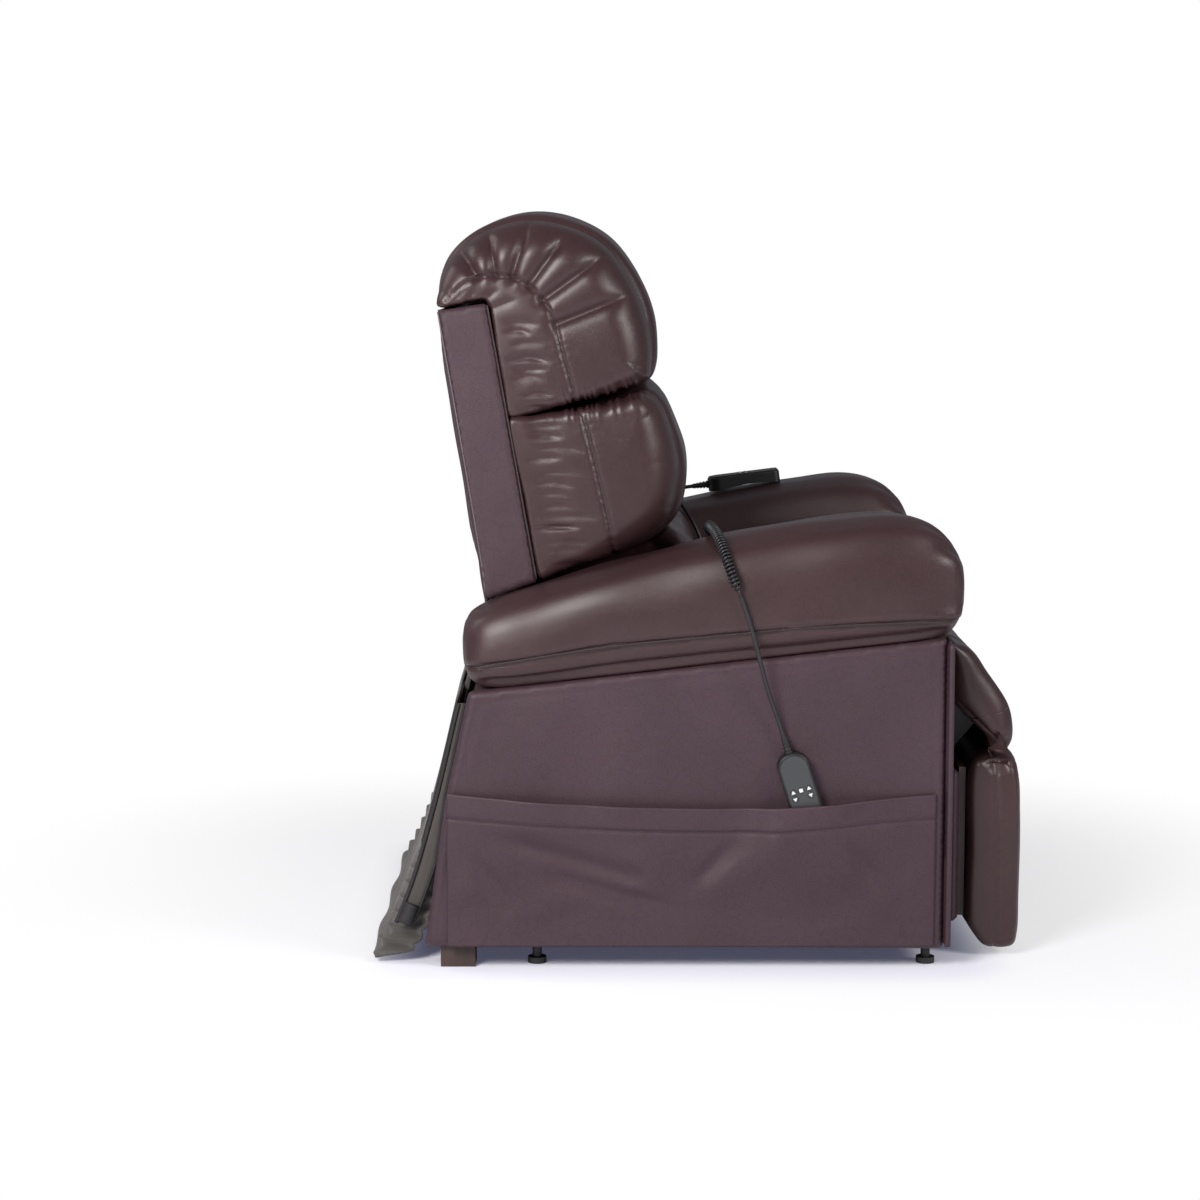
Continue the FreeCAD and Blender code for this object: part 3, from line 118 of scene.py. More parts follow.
class Graph:
    """The node tree of one material or of the world."""

    def __init__(self, owner: Union[bpy.types.Material, bpy.types.World]) -> None:
        """Empty the owner's node tree.

        Args:
            owner: the material or world.
        """
        owner.use_nodes = True
        self.tree = owner.node_tree
        self.tree.nodes.clear()

    def node(self, kind: str, settings: Optional[dict[str, Any]] = None,
             inputs: Optional[dict[Union[str, int], Any]] = None, output: Union[str, int] = 0) -> Wire:
        """Add one node.

        Args:
            kind: the node's type, without the prefix that all types share.
            settings: its own options.
            inputs: values or wires of its sockets, by name or number.
            output: the socket that is wanted from it.

        Returns:
            The wire of that output.
        """
        made = self.tree.nodes.new("ShaderNode" + kind)
        for name, value in (settings or {}).items():
            setattr(made, name, value)
        for name, value in (inputs or {}).items():
            if isinstance(value, Wire):
                self.tree.links.new(value.socket, made.inputs[name])
            else:
                made.inputs[name].default_value = value
        return Wire(self, made.outputs[output] if made.outputs else None)

    def here(self) -> Wire:
        """Place on the piece, in metres."""
        return self.node("TexCoord", output="Object")

    def stretched(self, scale: Point) -> Wire:
        """Place on the piece, scaled along each axis."""
        return self.node("Mapping", {}, {"Vector": self.here(), "Scale": tuple(scale)})

    def noise(self, scale: float, detail: float = 3.0, place: Optional[Wire] = None) -> Wire:
        """Cloudy noise from 0 to 1."""
        inputs = {"Vector": place or self.here(), "Scale": scale, "Detail": detail}
        return self.node("TexNoise", {}, inputs, "Fac")

    def cells(self, scale: float, place: Optional[Wire] = None, feature: str = "DISTANCE_TO_EDGE") -> Wire:
        """Distance into irregular cells."""
        inputs = {"Vector": place or self.here(), "Scale": scale}
        return self.node("TexVoronoi", {"feature": feature}, inputs, "Distance")

    def vector(self, operation: str, *values: Any, output: Union[str, int] = 0) -> Wire:
        """Vector maths on wires or triples."""
        return self.node("VectorMath", {"operation": operation}, dict(enumerate(values)), output)

    def blend(self, share: Number, first: Any, second: Any, mode: str = "MIX") -> Wire:
        """Mix two colours."""
        return self.node("Mix", {"data_type": "RGBA", "blend_type": mode}, {0: share, 6: first, 7: second}, 2)


def tint(colour: Screen) -> tuple[float, ...]:
    """Turn a screen colour into a scene colour.

    Args:
        colour: red, green and blue from 0 to 255.

    Returns:
        The opaque linear colour.
    """
    shares = [value / 255 for value in colour]
    linear = [share / 12.92 if share < 0.04045 else ((share + 0.055) / 1.055) ** 2.4 for share in shares]
    return (*linear, 1.0)


class Skin(Enum):
    """Kinds of surface that a finish can have."""

    PEBBLED = "leather with a fine pebble grain"
    WOVEN = "plain woven cloth"
    VEINED = "wood with its grain along Z"
    PEELED = "powder coat"
    BRUSHED = "drawn metal"
    MOULDED = "moulded plastic or rubber"


@dataclass(frozen=True)
class Finish:
    """One procedural finish: colours, gloss and the relief of its surface.

    grain is the size of the relief's features and depth their height, both in metres.
    """

    name: str
    skin: Skin
    colour: Screen
    second: Screen
    roughness: float
    grain: float
    depth: float
    metallic: float = 0.0
    specular: float = 0.5
    sheen: float = 0.0
    coat: float = 0.0

    def relief(self, graph: Graph) -> Wire:
        """Height of the surface's own grain.

        Args:
            graph: the material's nodes.

        Returns:
            The height, from 0 to 1.
        """
        scale = 1 / self.grain
        if self.skin is Skin.PEBBLED:
            soft = graph.node("TexNoise", {}, {"Vector": graph.here(), "Scale": scale / 3}, "Color")
            bent = graph.vector("MULTIPLY_ADD", soft, (self.grain,) * 3, graph.here())
            pebbles = graph.cells(scale, bent).eased(0.0, 0.22)
            lines = graph.cells(scale / 9, bent).eased(0.0, 0.06)
            return 0.6 * pebbles + 0.25 * lines + 0.15 * graph.noise(scale * 2.2, 2.0)
        if self.skin is Skin.WOVEN:
            return self.weave(graph, "X") * self.weave(graph, "Z")
        if self.skin is Skin.VEINED:
            return graph.noise(scale, 6.0, graph.stretched((1.0, 1.0, 0.06)))
        if self.skin is Skin.BRUSHED:
            return graph.noise(scale, 4.0, graph.stretched((1.0, 0.04, 1.0)))
        if self.skin is Skin.PEELED:
            return graph.noise(scale, 1.0)
        return graph.cells(scale, None, "F1")

    def weave(self, graph: Graph, direction: str) -> Wire:
        """Threads that run one way.

        Args:
            graph: the material's nodes.
            direction: X or Z.

        Returns:
            The threads' height, from 0 to 1.
        """
        settings = {"wave_type": "BANDS", "bands_direction": direction}
        inputs = {"Vector": graph.here(), "Scale": 0.314 / self.grain, "Distortion": 0.6, "Detail Scale": 2.0}
        return graph.node("TexWave", settings, inputs, "Fac")

    def patches(self, graph: Graph) -> Wire:
        """Slow change of colour over the surface.

        Args:
            graph: the material's nodes.

        Returns:
            The second colour's share, from 0 to 1.
        """
        if self.skin is Skin.VEINED:
            return graph.noise(14.0, 5.0, graph.stretched((1.0, 1.0, 0.05))).eased(0.35, 0.68)
        return 0.7 * graph.noise(5.0, 4.0).eased(0.3, 0.75) + 0.3 * graph.noise(60.0, 2.0)

    def material(self) -> bpy.types.Material:
        """Make the finish's material, or find it when it has been made.

        Returns:
            The material.
        """
        known = bpy.data.materials.get(f"look_{self.name}")
        if known:
            return known
        made = bpy.data.materials.new(f"look_{self.name}")
        graph = Graph(made)
        relief, patches = self.relief(graph), self.patches(graph)
        bump = graph.node("Bump", {}, {"Strength": 1.0, "Distance": self.depth, "Height": relief})
        colour = graph.blend(patches, tint(self.colour), tint(self.second))
        sunk = graph.blend(1 - relief, WHITE, (0.62, 0.6, 0.6, 1.0))
        inputs = {"Base Color": graph.blend(1.0, colour, sunk, "MULTIPLY"),
                  "Roughness": (self.roughness - 0.05) + 0.1 * patches + 0.06 * (1 - relief),
                  "Normal": bump, "Metallic": self.metallic, "Specular IOR Level": self.specular,
                  "Sheen Weight": self.sheen, "Coat Weight": self.coat, "Coat Roughness": 0.35}
        shader = graph.node("BsdfPrincipled", {}, inputs)
        graph.node("OutputMaterial", {}, {"Surface": shader})
        return made


LEATHER = Finish("soft_leather", Skin.PEBBLED, (52, 33, 35), (62, 41, 43), 0.35, 0.0021, 0.00011, coat=0.18,
                 specular=0.34)
PANEL_LEATHER = Finish("panel_leather", Skin.PEBBLED, (58, 40, 48), (66, 48, 56), 0.5, 0.0019, 0.00014,
                       specular=0.36)
# Darker than the leather: the front piping and the arm welts are coloured with painted shade of their grooves
# and seams.
SHADED_PIPING = Finish("piping", Skin.PEBBLED, (40, 26, 28), (49, 34, 35), 0.42, 0.0015, 0.0002)
# Paler than the panel leather: the rear piping's colour is a painted highlight along the strips' rear edges.
HIGHLIGHT_PIPING = Finish("painted_highlight_piping", Skin.PEBBLED, (90, 78, 82), (102, 90, 94), 0.5, 0.0012, 0.0001)
STITCH = Finish("thread", Skin.WOVEN, (38, 26, 28), (47, 34, 36), 0.7, 0.0006, 0.0001)
SKIRT_CLOTH = Finish("skirt_cloth", Skin.WOVEN, (76, 73, 70), (90, 86, 83), 0.86, 0.0011, 0.0002, sheen=0.2)
COAT_STEEL = Finish("black_powder_coat", Skin.PEELED, (38, 38, 41), (50, 50, 53), 0.42, 0.0016, 0.00006)
ROD_STEEL = Finish("drawn_steel", Skin.BRUSHED, (176, 178, 182), (150, 152, 156), 0.3, 0.0012, 0.00003,
                   metallic=1.0)
BINDING = Finish("black_binding", Skin.WOVEN, (30, 29, 31), (40, 38, 41), 0.65, 0.0009, 0.0001)
WOOD = Finish("stained_wood", Skin.VEINED, (70, 51, 47), (52, 37, 34), 0.5, 0.0042, 0.0002)
CASE_PLASTIC = Finish("case_plastic", Skin.MOULDED, (22, 22, 24), (28, 28, 30), 0.45, 0.0007, 0.00004)
FACE_PLASTIC = Finish("face_plastic", Skin.MOULDED, (54, 58, 60), (60, 64, 66), 0.42, 0.0006, 0.00003)
BUTTON_PLASTIC = Finish("button_plastic", Skin.MOULDED, (50, 52, 56), (58, 60, 64), 0.32, 0.0005, 0.00002,
                        coat=0.2)
SYMBOL_INK = Finish("symbol_ink", Skin.MOULDED, (232, 233, 235), (222, 223, 226), 0.5, 0.0005, 0.00001)
GLIDE_PLASTIC = Finish("glide_plastic", Skin.MOULDED, (30, 30, 32), (38, 38, 40), 0.5, 0.0008, 0.00004)
CORD_RUBBER = Finish("cord_rubber", Skin.MOULDED, (24, 24, 27), (32, 32, 36), 0.4, 0.0006, 0.00002)

SLOT_FINISHES = {"leather": LEATHER, "panel_leather": PANEL_LEATHER, "base_steel": COAT_STEEL,
                 "rod_steel": ROD_STEEL, "wood": WOOD, "case_plastic": CASE_PLASTIC,
                 "button_plastic": BUTTON_PLASTIC, "glide_plastic": GLIDE_PLASTIC,
                 "lining_fabric": SKIRT_CLOTH, "cord_rubber": CORD_RUBBER}


# Curves and grids
def spline(points: Sequence[Point], count: int, closed: bool = False) -> Array:
    """Even points on a smooth curve through the given ones.

    Args:
        points: what the curve goes through, each of two or more numbers.
        count: how many points are wanted.
        closed: whether the curve comes back to its start.

    Returns:
        The points, one row each; a closed curve's start isn't repeated.
    """
    data = np.asarray(points, float)
    ends = (data[-1:], data[:2]) if closed else (2 * data[:1] - data[1:2], 2 * data[-1:] - data[-2:-1])
    data = np.vstack([ends[0], data, ends[1]])
    runs = np.diff(data, axis=0)
    gaps = np.sqrt(np.maximum(np.linalg.norm(runs, axis=1), TINY))[:, None]
    slopes = runs / gaps
    tangents = (slopes[:-1] * gaps[1:] + slopes[1:] * gaps[:-1]) / (gaps[:-1] + gaps[1:])
    start, end = data[1:-2, None], data[2:-1, None]
    leave, arrive = (tangents[:-1] * gaps[1:-1])[:, None], (tangents[1:] * gaps[1:-1])[:, None]
    t = np.linspace(0, 1, CURVE_STEPS, endpoint=False)[None, :, None]
    fine = ((2 * t ** 3 - 3 * t ** 2 + 1) * start + (t ** 3 - 2 * t ** 2 + t) * leave
            + (3 * t ** 2 - 2 * t ** 3) * end + (t ** 3 - t ** 2) * arrive)
    return resample(np.vstack([fine.reshape(-1, data.shape[1]), data[-2]]), count, closed)


def resample(line: Array, count: int, closed: bool = False) -> Array:
    """Even points along a line of many short runs.

    Args:
        line: the line's points, with the start again at the end when it is closed.
        count: how many points are wanted.
        closed: whether the last point is left out.

    Returns:
        The points, one row each.
    """
    places = lengths_along(line)
    wanted = np.linspace(0, places[-1], count + 1 if closed else count)[:count]
    return np.stack([np.interp(wanted, places, column) for column in line.T], axis=1)


def headings(line: Array) -> Array:
    """Unit directions along a line."""
    runs = np.gradient(line, axis=0)
    return runs / np.maximum(np.linalg.norm(runs, axis=1), TINY)[:, None]


def bell(value: Array, middle: float, width: float) -> Array:
    """Bell curve, 1 at its middle."""
    return np.exp(-((value - middle) / width) ** 2)


def lengths_along(line: Array) -> Array:
    """How far along a line each of its points lies."""
    return np.concatenate([[0.0], np.cumsum(np.linalg.norm(np.diff(line, axis=0), axis=1))])


def ease(value: Array, low: float, high: float) -> Array:
    """Smooth step from 0 at low to 1 at high."""
    share = np.clip((np.asarray(value, float) - low) / (high - low), 0, 1)
    return share * share * (3 - 2 * share)


def beside(places: Array, line: Array) -> tuple[Array, Array]:
    """Distance of points to a line, and how far along it they lie.

    Args:
        places: points, one row each.
        line: the line's points, in the same number of dimensions.

    Returns:
        The distances and the lengths along the line.
    """
    best = np.full(len(places), np.inf)
    along = np.zeros(len(places))
    for start, run, before in zip(line[:-1], np.diff(line, axis=0), lengths_along(line)):
        length = max(float(np.linalg.norm(run)), TINY)
        share = np.clip((places - start) @ run / length ** 2, 0, 1)
        gap = np.linalg.norm(places - start - share[:, None] * run, axis=1)
        along = np.where(gap < best, before + share * length, along)
        best = np.minimum(best, gap)
    return best, along


def within(places: Array, outline: Array) -> Array:
    """Find which points lie inside a closed outline.

    Args:
        places: points in the plane, one row each.
        outline: the outline's points.

    Returns:
        True for each point inside.
    """
    x, y = places.T
    inside = np.zeros(len(places), bool)
    for first, second in zip(outline, np.roll(outline, -1, axis=0)):
        crosses = (first[1] > y) != (second[1] > y)
        rise = second[1] - first[1]
        meet = first[0] + (y - first[1]) / (rise if abs(rise) > LEVEL else LEVEL) * (second[0] - first[0])
        inside ^= crosses & (x < meet)
    return inside


def crumple(places: Array, size: float, seed: int) -> Array:
    """Gentle unevenness made of waves in many directions.

    Args:
        places: points, one row each.
        size: about how large its features are.
        seed: picks the waves.

    Returns:
        A value from -1 to 1 for each point.
    """
    chance = np.random.default_rng(seed)
    total = np.zeros(len(places))
    for _ in range(WAVES):
        direction = chance.normal(size=places.shape[1])
        direction *= 2 * math.pi / (size * chance.uniform(0.7, 1.6) * np.linalg.norm(direction))
        total += np.sin(places @ direction + chance.uniform(0, 2 * math.pi))
    return total / (WAVES / 2)


@dataclass(frozen=True)
class Groove:
    """A pulled-in line on a soft piece, with puckers across it.

    taper thins it over a length at both ends, fade over a share of its far end, and a crease has a sharp
    bottom.
    """

    line: Sequence[Point]
    depth: float
    width: float
    pucker: float = 0.0
    pitch: float = 0.02
    taper: float = 0.0
    fade: float = 0.0
    crease: bool = False

    def height(self, places: Array) -> Array:
        """Work out what the groove adds to a surface.

        Args:
            places: points in the plane of the line, one row each.

        Returns:
            The height at each point, negative in the groove.
        """
        line = spline(self.line, 60) if len(self.line) > 2 else np.asarray(self.line, float)
        gap, along = beside(places, line)
        total = lengths_along(line)[-1]
        strength = np.ones(len(places))
        if self.taper:
            strength = ease(np.minimum(along, total - along) + self.taper * 0.15, 0, self.taper)
        if self.fade:
            strength = strength * (1 - ease(along, total * (1 - self.fade), total * 1.02))
        uneven = 2.3 * np.sin(along * 0.9 / self.pitch) + 1.7 * np.sin(along * 2.3 / self.pitch + 1.0)
        wave = np.cos(2 * math.pi * along / self.pitch + uneven)
        folds = self.pucker * self.depth * wave * bell(gap, 0, 3.2 * self.width)
        dip = np.exp(-np.hypot(gap, 0.0012) / self.width) if self.crease else bell(gap, 0, self.width)
        return strength * (folds - self.depth * dip)


def linked(name: str, data: Any) -> bpy.types.Object:
    """Make an object and put it in the scene.

    Args:
        name: its name.
        data: its mesh, curve, camera or lamp.

    Returns:
        The object.
    """
    made = bpy.data.objects.new(name, data)
    bpy.context.scene.collection.objects.link(made)
    return made


# Meshes
def new_piece(name: str, places: Array, faces: Sequence[Sequence[int]],
              smooth: bool = True) -> bpy.types.Object:
    """Make a mesh object with its normals outward.

    Args:
        name: the piece's name.
        places: its points, one row each.
        faces: the points of each face.
        smooth: whether it is shaded smooth.

    Returns:
        The object.
    """
    mesh = bpy.data.meshes.new(name)
    mesh.from_pydata(np.asarray(places, float).tolist(), [], [list(map(int, face)) for face in faces])
    editor = bmesh.new()
    editor.from_mesh(mesh)
    bmesh.ops.recalc_face_normals(editor, faces=editor.faces)
    editor.to_mesh(mesh)
    editor.free()
    mesh.shade_smooth() if smooth else mesh.shade_flat()
    return linked(name, mesh)


def read(collection: Any, field: str) -> Array:
    """Read the vectors of a mesh.

    Args:
        collection: its vertices or their normals.
        field: the field that holds the vector.

    Returns:
        The vectors as rows.
    """
    values = np.zeros(len(collection) * 3, np.float32)
    collection.foreach_get(field, values)
    return values.reshape(-1, 3).astype(float)


def reshape(piece: bpy.types.Object, change: Callable[[Array, Array], Array]) -> None:
    """Move a piece's points.

    Args:
        piece: the piece.
        change: gives the new places from the old ones and their normals.
    """
    mesh = piece.data
    places = change(read(mesh.vertices, "co"), read(mesh.vertex_normals, "vector"))
    mesh.vertices.foreach_set("co", places.astype(np.float32).ravel())
    mesh.update()


def push(piece: bpy.types.Object, height: Callable[[Array], Array]) -> None:
    """Push a piece's points out along their normals by a rule on their places."""
    reshape(piece, lambda places, normals: places + normals * height(places)[:, None])


def loop_edges(count: int, start: int = 0) -> list[tuple[int, int]]:
    """Pairs of neighbours on a closed loop of points."""
    return [(start + index, start + (index + 1) % count) for index in range(count)]


def grid_faces(rows: int, columns: int, closed: bool, start: int = 0) -> list[tuple[int, ...]]:
    """List the four-sided faces of a grid of points.

    Args:
        rows: how many rows it has.
        columns: how many points a row has.
        closed: whether its rows close on themselves.
        start: number of its first point.

    Returns:
        The faces.
    """
    faces = []
    for row in range(rows - 1):
        for column in range(columns if closed else columns - 1):
            beyond = (column + 1) % columns
            low, high = start + row * columns, start + (row + 1) * columns
            faces.append((low + column, low + beyond, high + beyond, high + column))
    return faces


def wrap(name: str, rings: Array, cap_rings: int = 6, bulge: float = 0.0) -> bpy.types.Object:
    """A closed mesh from rings in a row, its ends closed by shrinking rings.

    Args:
        name: the piece's name.
        rings: array of rings, points and coordinates.
        cap_rings: rings in each end.
        bulge: how far the ends' middles stand out.

    Returns:
        The object.
    """
    def cap(ring: Array, inner: Array) -> list[Array]:
        """Close one end.

        Args:
            ring: the end's ring.
            inner: the ring before it.

        Returns:
            Shrinking rings.
        """
        centre = ring.mean(axis=0)
        out = centre - inner.mean(axis=0)
        out = out / max(float(np.linalg.norm(out)), TINY)
        shares = [1 - step / cap_rings for step in range(1, cap_rings)] + [0.02]
        return [centre + (ring - centre) * share + out * bulge * (1 - share ** 2) for share in shares]

    every = np.stack(cap(rings[0], rings[1])[::-1] + list(rings) + cap(rings[-1], rings[-2]))
    rows, columns = every.shape[:2]
    faces = grid_faces(rows, columns, True)
    faces += [tuple(range(columns)), tuple(range((rows - 1) * columns, rows * columns))]
    return new_piece(name, every.reshape(-1, 3), faces)


def shell(name: str, outer: Array, inner: Array) -> bpy.types.Object:
    """A closed mesh between two grids of the same size.

    Args:
        name: the piece's name.
        outer: the outer grid: rows, columns and coordinates.
        inner: the inner grid.

    Returns:
        The object.
    """
    rows, columns = outer.shape[:2]
    count = rows * columns
    faces = grid_faces(rows, columns, False) + grid_faces(rows, columns, False, count)
    index = np.arange(count).reshape(rows, columns)
    rim = [*index[0], *index[1:, -1], *index[-1, -2::-1], *index[-2:0:-1, 0]]
    for first, second in zip(rim, rim[1:] + rim[:1]):
        faces.append((first, second, second + count, first + count))
    return new_piece(name, np.vstack([outer.reshape(-1, 3), inner.reshape(-1, 3)]), faces)


class Across(Enum):
    """The axis that a padded body is extruded along, as the order of its coordinates."""

    X = (2, 0, 1)
    Y = (0, 2, 1)


@dataclass
class Padded:
    """A padded body: a side outline drawn across the chair, with round edges at both ends.

    outline holds corner points or, when it is smooth, points that its curve goes through. A third number
    there is the radius of the ends' edges at that point. drawn is how far the ends are pulled in where that
    radius is large, and dome is how far their middles stand out.
    """

    name: str
    outline: Sequence[Point]
    low: float
    high: float
    radius: float
    across: Across = Across.X
    smooth: bool = True
    spacing: float = 0.0045
    station: float = 0.012
    drawn: float = 0.0
    corner: float = 0.004
    dome: float = 0.0

    def loop(self) -> Array:
        """Draw the outline.

        Returns:
            Its even points.
        """
        corners = np.array([point[:2] for point in self.outline], float)
        rough = spline(corners, 400, True) if self.smooth else self.rounded(corners)
        closed = np.vstack([rough, rough[:1]])
        return resample(closed, max(24, int(lengths_along(closed)[-1] / self.spacing)), True)

    def rounded(self, corners: Array) -> Array:
        """Round the outline's corners.

        Args:
            corners: the corners, one row each.

        Returns:
            The points of the rounded outline.
        """
        made = []
        for before, corner, after in zip(np.roll(corners, 1, 0), corners, np.roll(corners, -1, 0)):
            inward, outward = before - corner, after - corner
            reach = min(self.corner, 0.4 * min(np.linalg.norm(inward), np.linalg.norm(outward)))
            start = corner + inward / np.linalg.norm(inward) * reach
            end = corner + outward / np.linalg.norm(outward) * reach
            for share in np.linspace(0, 1, 5):
                made.append((1 - share) ** 2 * start + 2 * share * (1 - share) * corner + share ** 2 * end)
        return np.asarray(made)

    def edge_radii(self, loop: Array) -> Array:
        """Work out the radius of the ends' edges.

        Args:
            loop: the outline's even points.

        Returns:
            The radius at each of them.
        """
        given = [point for point in self.outline if len(point) > 2]
        if not given:
            return np.full(len(loop), self.radius)
        spots = sorted((int(np.argmin(np.linalg.norm(loop - np.asarray((y, z)), axis=1))), radius)
                       for y, z, radius in given)
        index, values = zip(*spots)
        return np.interp(np.arange(len(loop)), index, values, period=len(loop))

    def build(self) -> bpy.types.Object:
        """Make the body's mesh.

        Returns:
            The object.
        """
        loop = self.loop()
        count = len(loop)
        local = self.edge_radii(loop)
        pull = self.drawn * (local / local.max()) ** 2
        outward = self.outward(loop)
        middle, half = (self.low + self.high) / 2, (self.high - self.low) / 2
        rings = []
        for station in np.linspace(-1, 1, max(3, int(2 * (half - local.mean()) / self.station))):
            flat = loop - outward * (pull * abs(station) ** 7)[:, None]
            rings.append(np.column_stack([flat, middle + station * (half - local)]))
        end = rings[0][:, :2]
        closed = np.vstack([end, end[:1]])
        inner, faces = self.end_faces(end, closed)
        gap, along = beside(inner, closed)
        near = np.interp(along, lengths_along(closed), np.append(local, local[0]))
        bend = 1 - np.clip(gap / near, 0, 1)
        reach = half - near + near * np.sqrt(np.maximum(1 - bend ** 2, 0))
        reach = reach + self.dome * (1 - bell(gap, 0, 0.05))
        caps = [np.column_stack([inner, middle + side * reach]) for side in (-1, 1)]
        every = grid_faces(len(rings), count, True)
        last_ring, first_cap = (len(rings) - 1) * count, len(rings) * count
        for ring_start, cap_start in ((0, first_cap), (last_ring, first_cap + len(inner))):
            every += [tuple(ring_start + point if point < count else cap_start + point - count
                            for point in face) for face in faces]
        return new_piece(self.name, np.vstack(rings + caps)[:, list(self.across.value)], every)

    @staticmethod
    def outward(loop: Array) -> Array:
        """Find the smoothed outward directions of an outline.

        Args:
            loop: its even points.

        Returns:
            A unit vector for each.
        """
        run = np.roll(loop, -4, 0) - np.roll(loop, 4, 0)
        following = np.roll(loop, -1, 0)
        turn = np.sign(np.sum(loop[:, 0] * following[:, 1] - following[:, 0] * loop[:, 1]))
        out = turn * np.column_stack([run[:, 1], -run[:, 0]])
        return out / np.linalg.norm(out, axis=1)[:, None]

    def end_faces(self, end: Array, closed: Array) -> tuple[Array, list[tuple[int, ...]]]:
        """Fill an end with even triangles.

        Args:
            end: the outline's points.
            closed: the same with the first point again at the end.

        Returns:
            The points inside it, and faces over the outline's points and then these.
        """
        low, high = end.min(axis=0), end.max(axis=0)
        points = []
        for index, row in enumerate(np.arange(low[1], high[1], self.spacing * 0.87)):
            columns = np.arange(low[0] + (index % 2) * self.spacing / 2, high[0], self.spacing)
            points.append(np.column_stack([columns, np.full(len(columns), row)]))
        inner = np.vstack(points)
        inner = inner[within(inner, end)]
        inner = inner[beside(inner, closed)[0] > 0.55 * self.spacing]
        every = [Vector(point) for point in np.vstack([end, inner]).tolist()]
        found = delaunay_2d_cdt(every, loop_edges(len(end)), [], 1, SNAP)
        source = [origin[0] if origin else -1 for origin in found[3]]
        faces = [tuple(source[point] for point in face) for face in found[2]]
        return inner, [face for face in faces if min(face) >= 0]


def laid_on(piece: bpy.types.Object, line: Array, side: int, lift: float) -> Array:
    """Lay a side-view line on a piece from beyond one side.

    Args:
        piece: the piece.
        line: the line's points, from the side.
        side: the side it is laid on.
        lift: how far it stands out.

    Returns:
        The points found.
    """
    corners = [tuple(face.vertices) for face in piece.data.polygons]
    tree = BVHTree.FromPolygons(read(piece.data.vertices, "co").tolist(), corners)
    hits = [tree.ray_cast(Vector((side, y, z)), Vector((-side, 0, 0)))[0] for y, z in line]
    return np.asarray([(hit.x + side * lift, y, z) for hit, (y, z) in zip(hits, line) if hit is not None])


def tube(points: Array, radius: float, sides: int = 8) -> tuple[Array, list[tuple[int, ...]]]:
    """Draw a round tube along many points, its ends closed.

    Args:
        points: its middle line.
        radius: its radius.
        sides: how many sides it has.

    Returns:
        Its places and its faces.
    """
    points = np.asarray(points, float)
    along = headings(points)
    side = np.cross(along[0], (0.31, 0.2, 0.93))
    rings = []
    turns = np.linspace(0, 2 * math.pi, sides, endpoint=False)[:, None]
    for point, direction in zip(points, along):
        side = side - direction * (side @ direction)
        side = side / np.linalg.norm(side)
        rings.append(point + radius * (np.cos(turns) * side + np.sin(turns) * np.cross(direction, side)))
    places = np.vstack(rings)
    faces = grid_faces(len(points), sides, True)
    faces += [tuple(range(sides)), tuple(range(len(places) - sides, len(places)))]
    return places, faces


def tubes(name: str, lines: Iterable[tuple[Array, float]], sides: int = 8) -> bpy.types.Object:
    """Make one piece of several round tubes.

    Args:
        name: the piece's name.
        lines: each tube's line and radius.
        sides: how many sides each has.

    Returns:
        The object.
    """
    places, faces, start = [], [], 0
    for line, radius in lines:
        more, corners = tube(line, radius, sides)
        places.append(more)
        faces += [tuple(start + point for point in face) for face in corners]
        start += len(more)
    return new_piece(name, np.vstack(places), faces)


def baked(piece: bpy.types.Object, modifier: Optional[str] = None, **settings: Any) -> None:
    """Replace a piece's mesh by what its modifiers make of it.

    Args:
        piece: the piece.
        modifier: kind of a modifier that is added first.
        **settings: that modifier's values.
    """
    if modifier:
        added = piece.modifiers.new(modifier.lower(), modifier)
        for name, value in settings.items():
            setattr(added, name, value)
    depsgraph = bpy.context.evaluated_depsgraph_get()
    mesh = bpy.data.meshes.new_from_object(piece.evaluated_get(depsgraph), depsgraph=depsgraph)
    piece.modifiers.clear()
    piece.data = mesh
    mesh.shade_smooth()


def swell(piece: bpy.types.Object, start: float, cap: float, voxel: float = 0.006) -> None:
    """Args:
        piece: the pad, a closed mesh.
        start: how far its surface is drawn in first.
        cap: how far a point may move.
        voxel: size of the faces that are simulated.
    """
    scene = bpy.context.scene
    push(piece, lambda places: np.full(len(places), -start))
    baked(piece, "REMESH", mode="VOXEL", voxel_size=voxel)
    before = read(piece.data.vertices, "co")
    cloth = piece.modifiers.new("swelling", "CLOTH")
    cloth.settings.use_pressure = True
    cloth.settings.uniform_pressure_force = SWELL_PRESSURE
    cloth.settings.effector_weights.gravity = 0.0
    cloth.point_cache.frame_start = 1
    cloth.point_cache.frame_end = SWELL_FRAMES
    for step in range(1, SWELL_FRAMES + 1):
        scene.frame_set(step)
    swollen = piece.evaluated_get(bpy.context.evaluated_depsgraph_get()).to_mesh()
    moved = read(swollen.vertices, "co") - before
    far = np.linalg.norm(moved, axis=1)[:, None]
    piece.modifiers.clear()
    scene.frame_set(1)
    reshape(piece, lambda places, normals: before + moved * np.minimum(1, cap / np.maximum(far, TINY)))
    baked(piece, "SUBSURF", levels=1, render_levels=1)
    log.info("%s swelled by up to %.1f mm", piece.name, min(cap, float(far.max())) * 1000)


def both_sides(line: Array) -> list[Array]:
    """A line and its mirror image across the chair."""
    return [line, line * np.array([-1, 1, 1])]


def piping(name: str, line: Array, radius: float, finish: Finish, body: str) -> None:
    """Lay a round trim on both sides of the chair.

    Args:
        name: the piece's name.
        line: the trim's line on one side.
        radius: its radius.
        finish: its finish.
        body: the body it rides on.
    """
    dress(tubes(name, [(side, radius) for side in both_sides(line)], 6), finish, body)


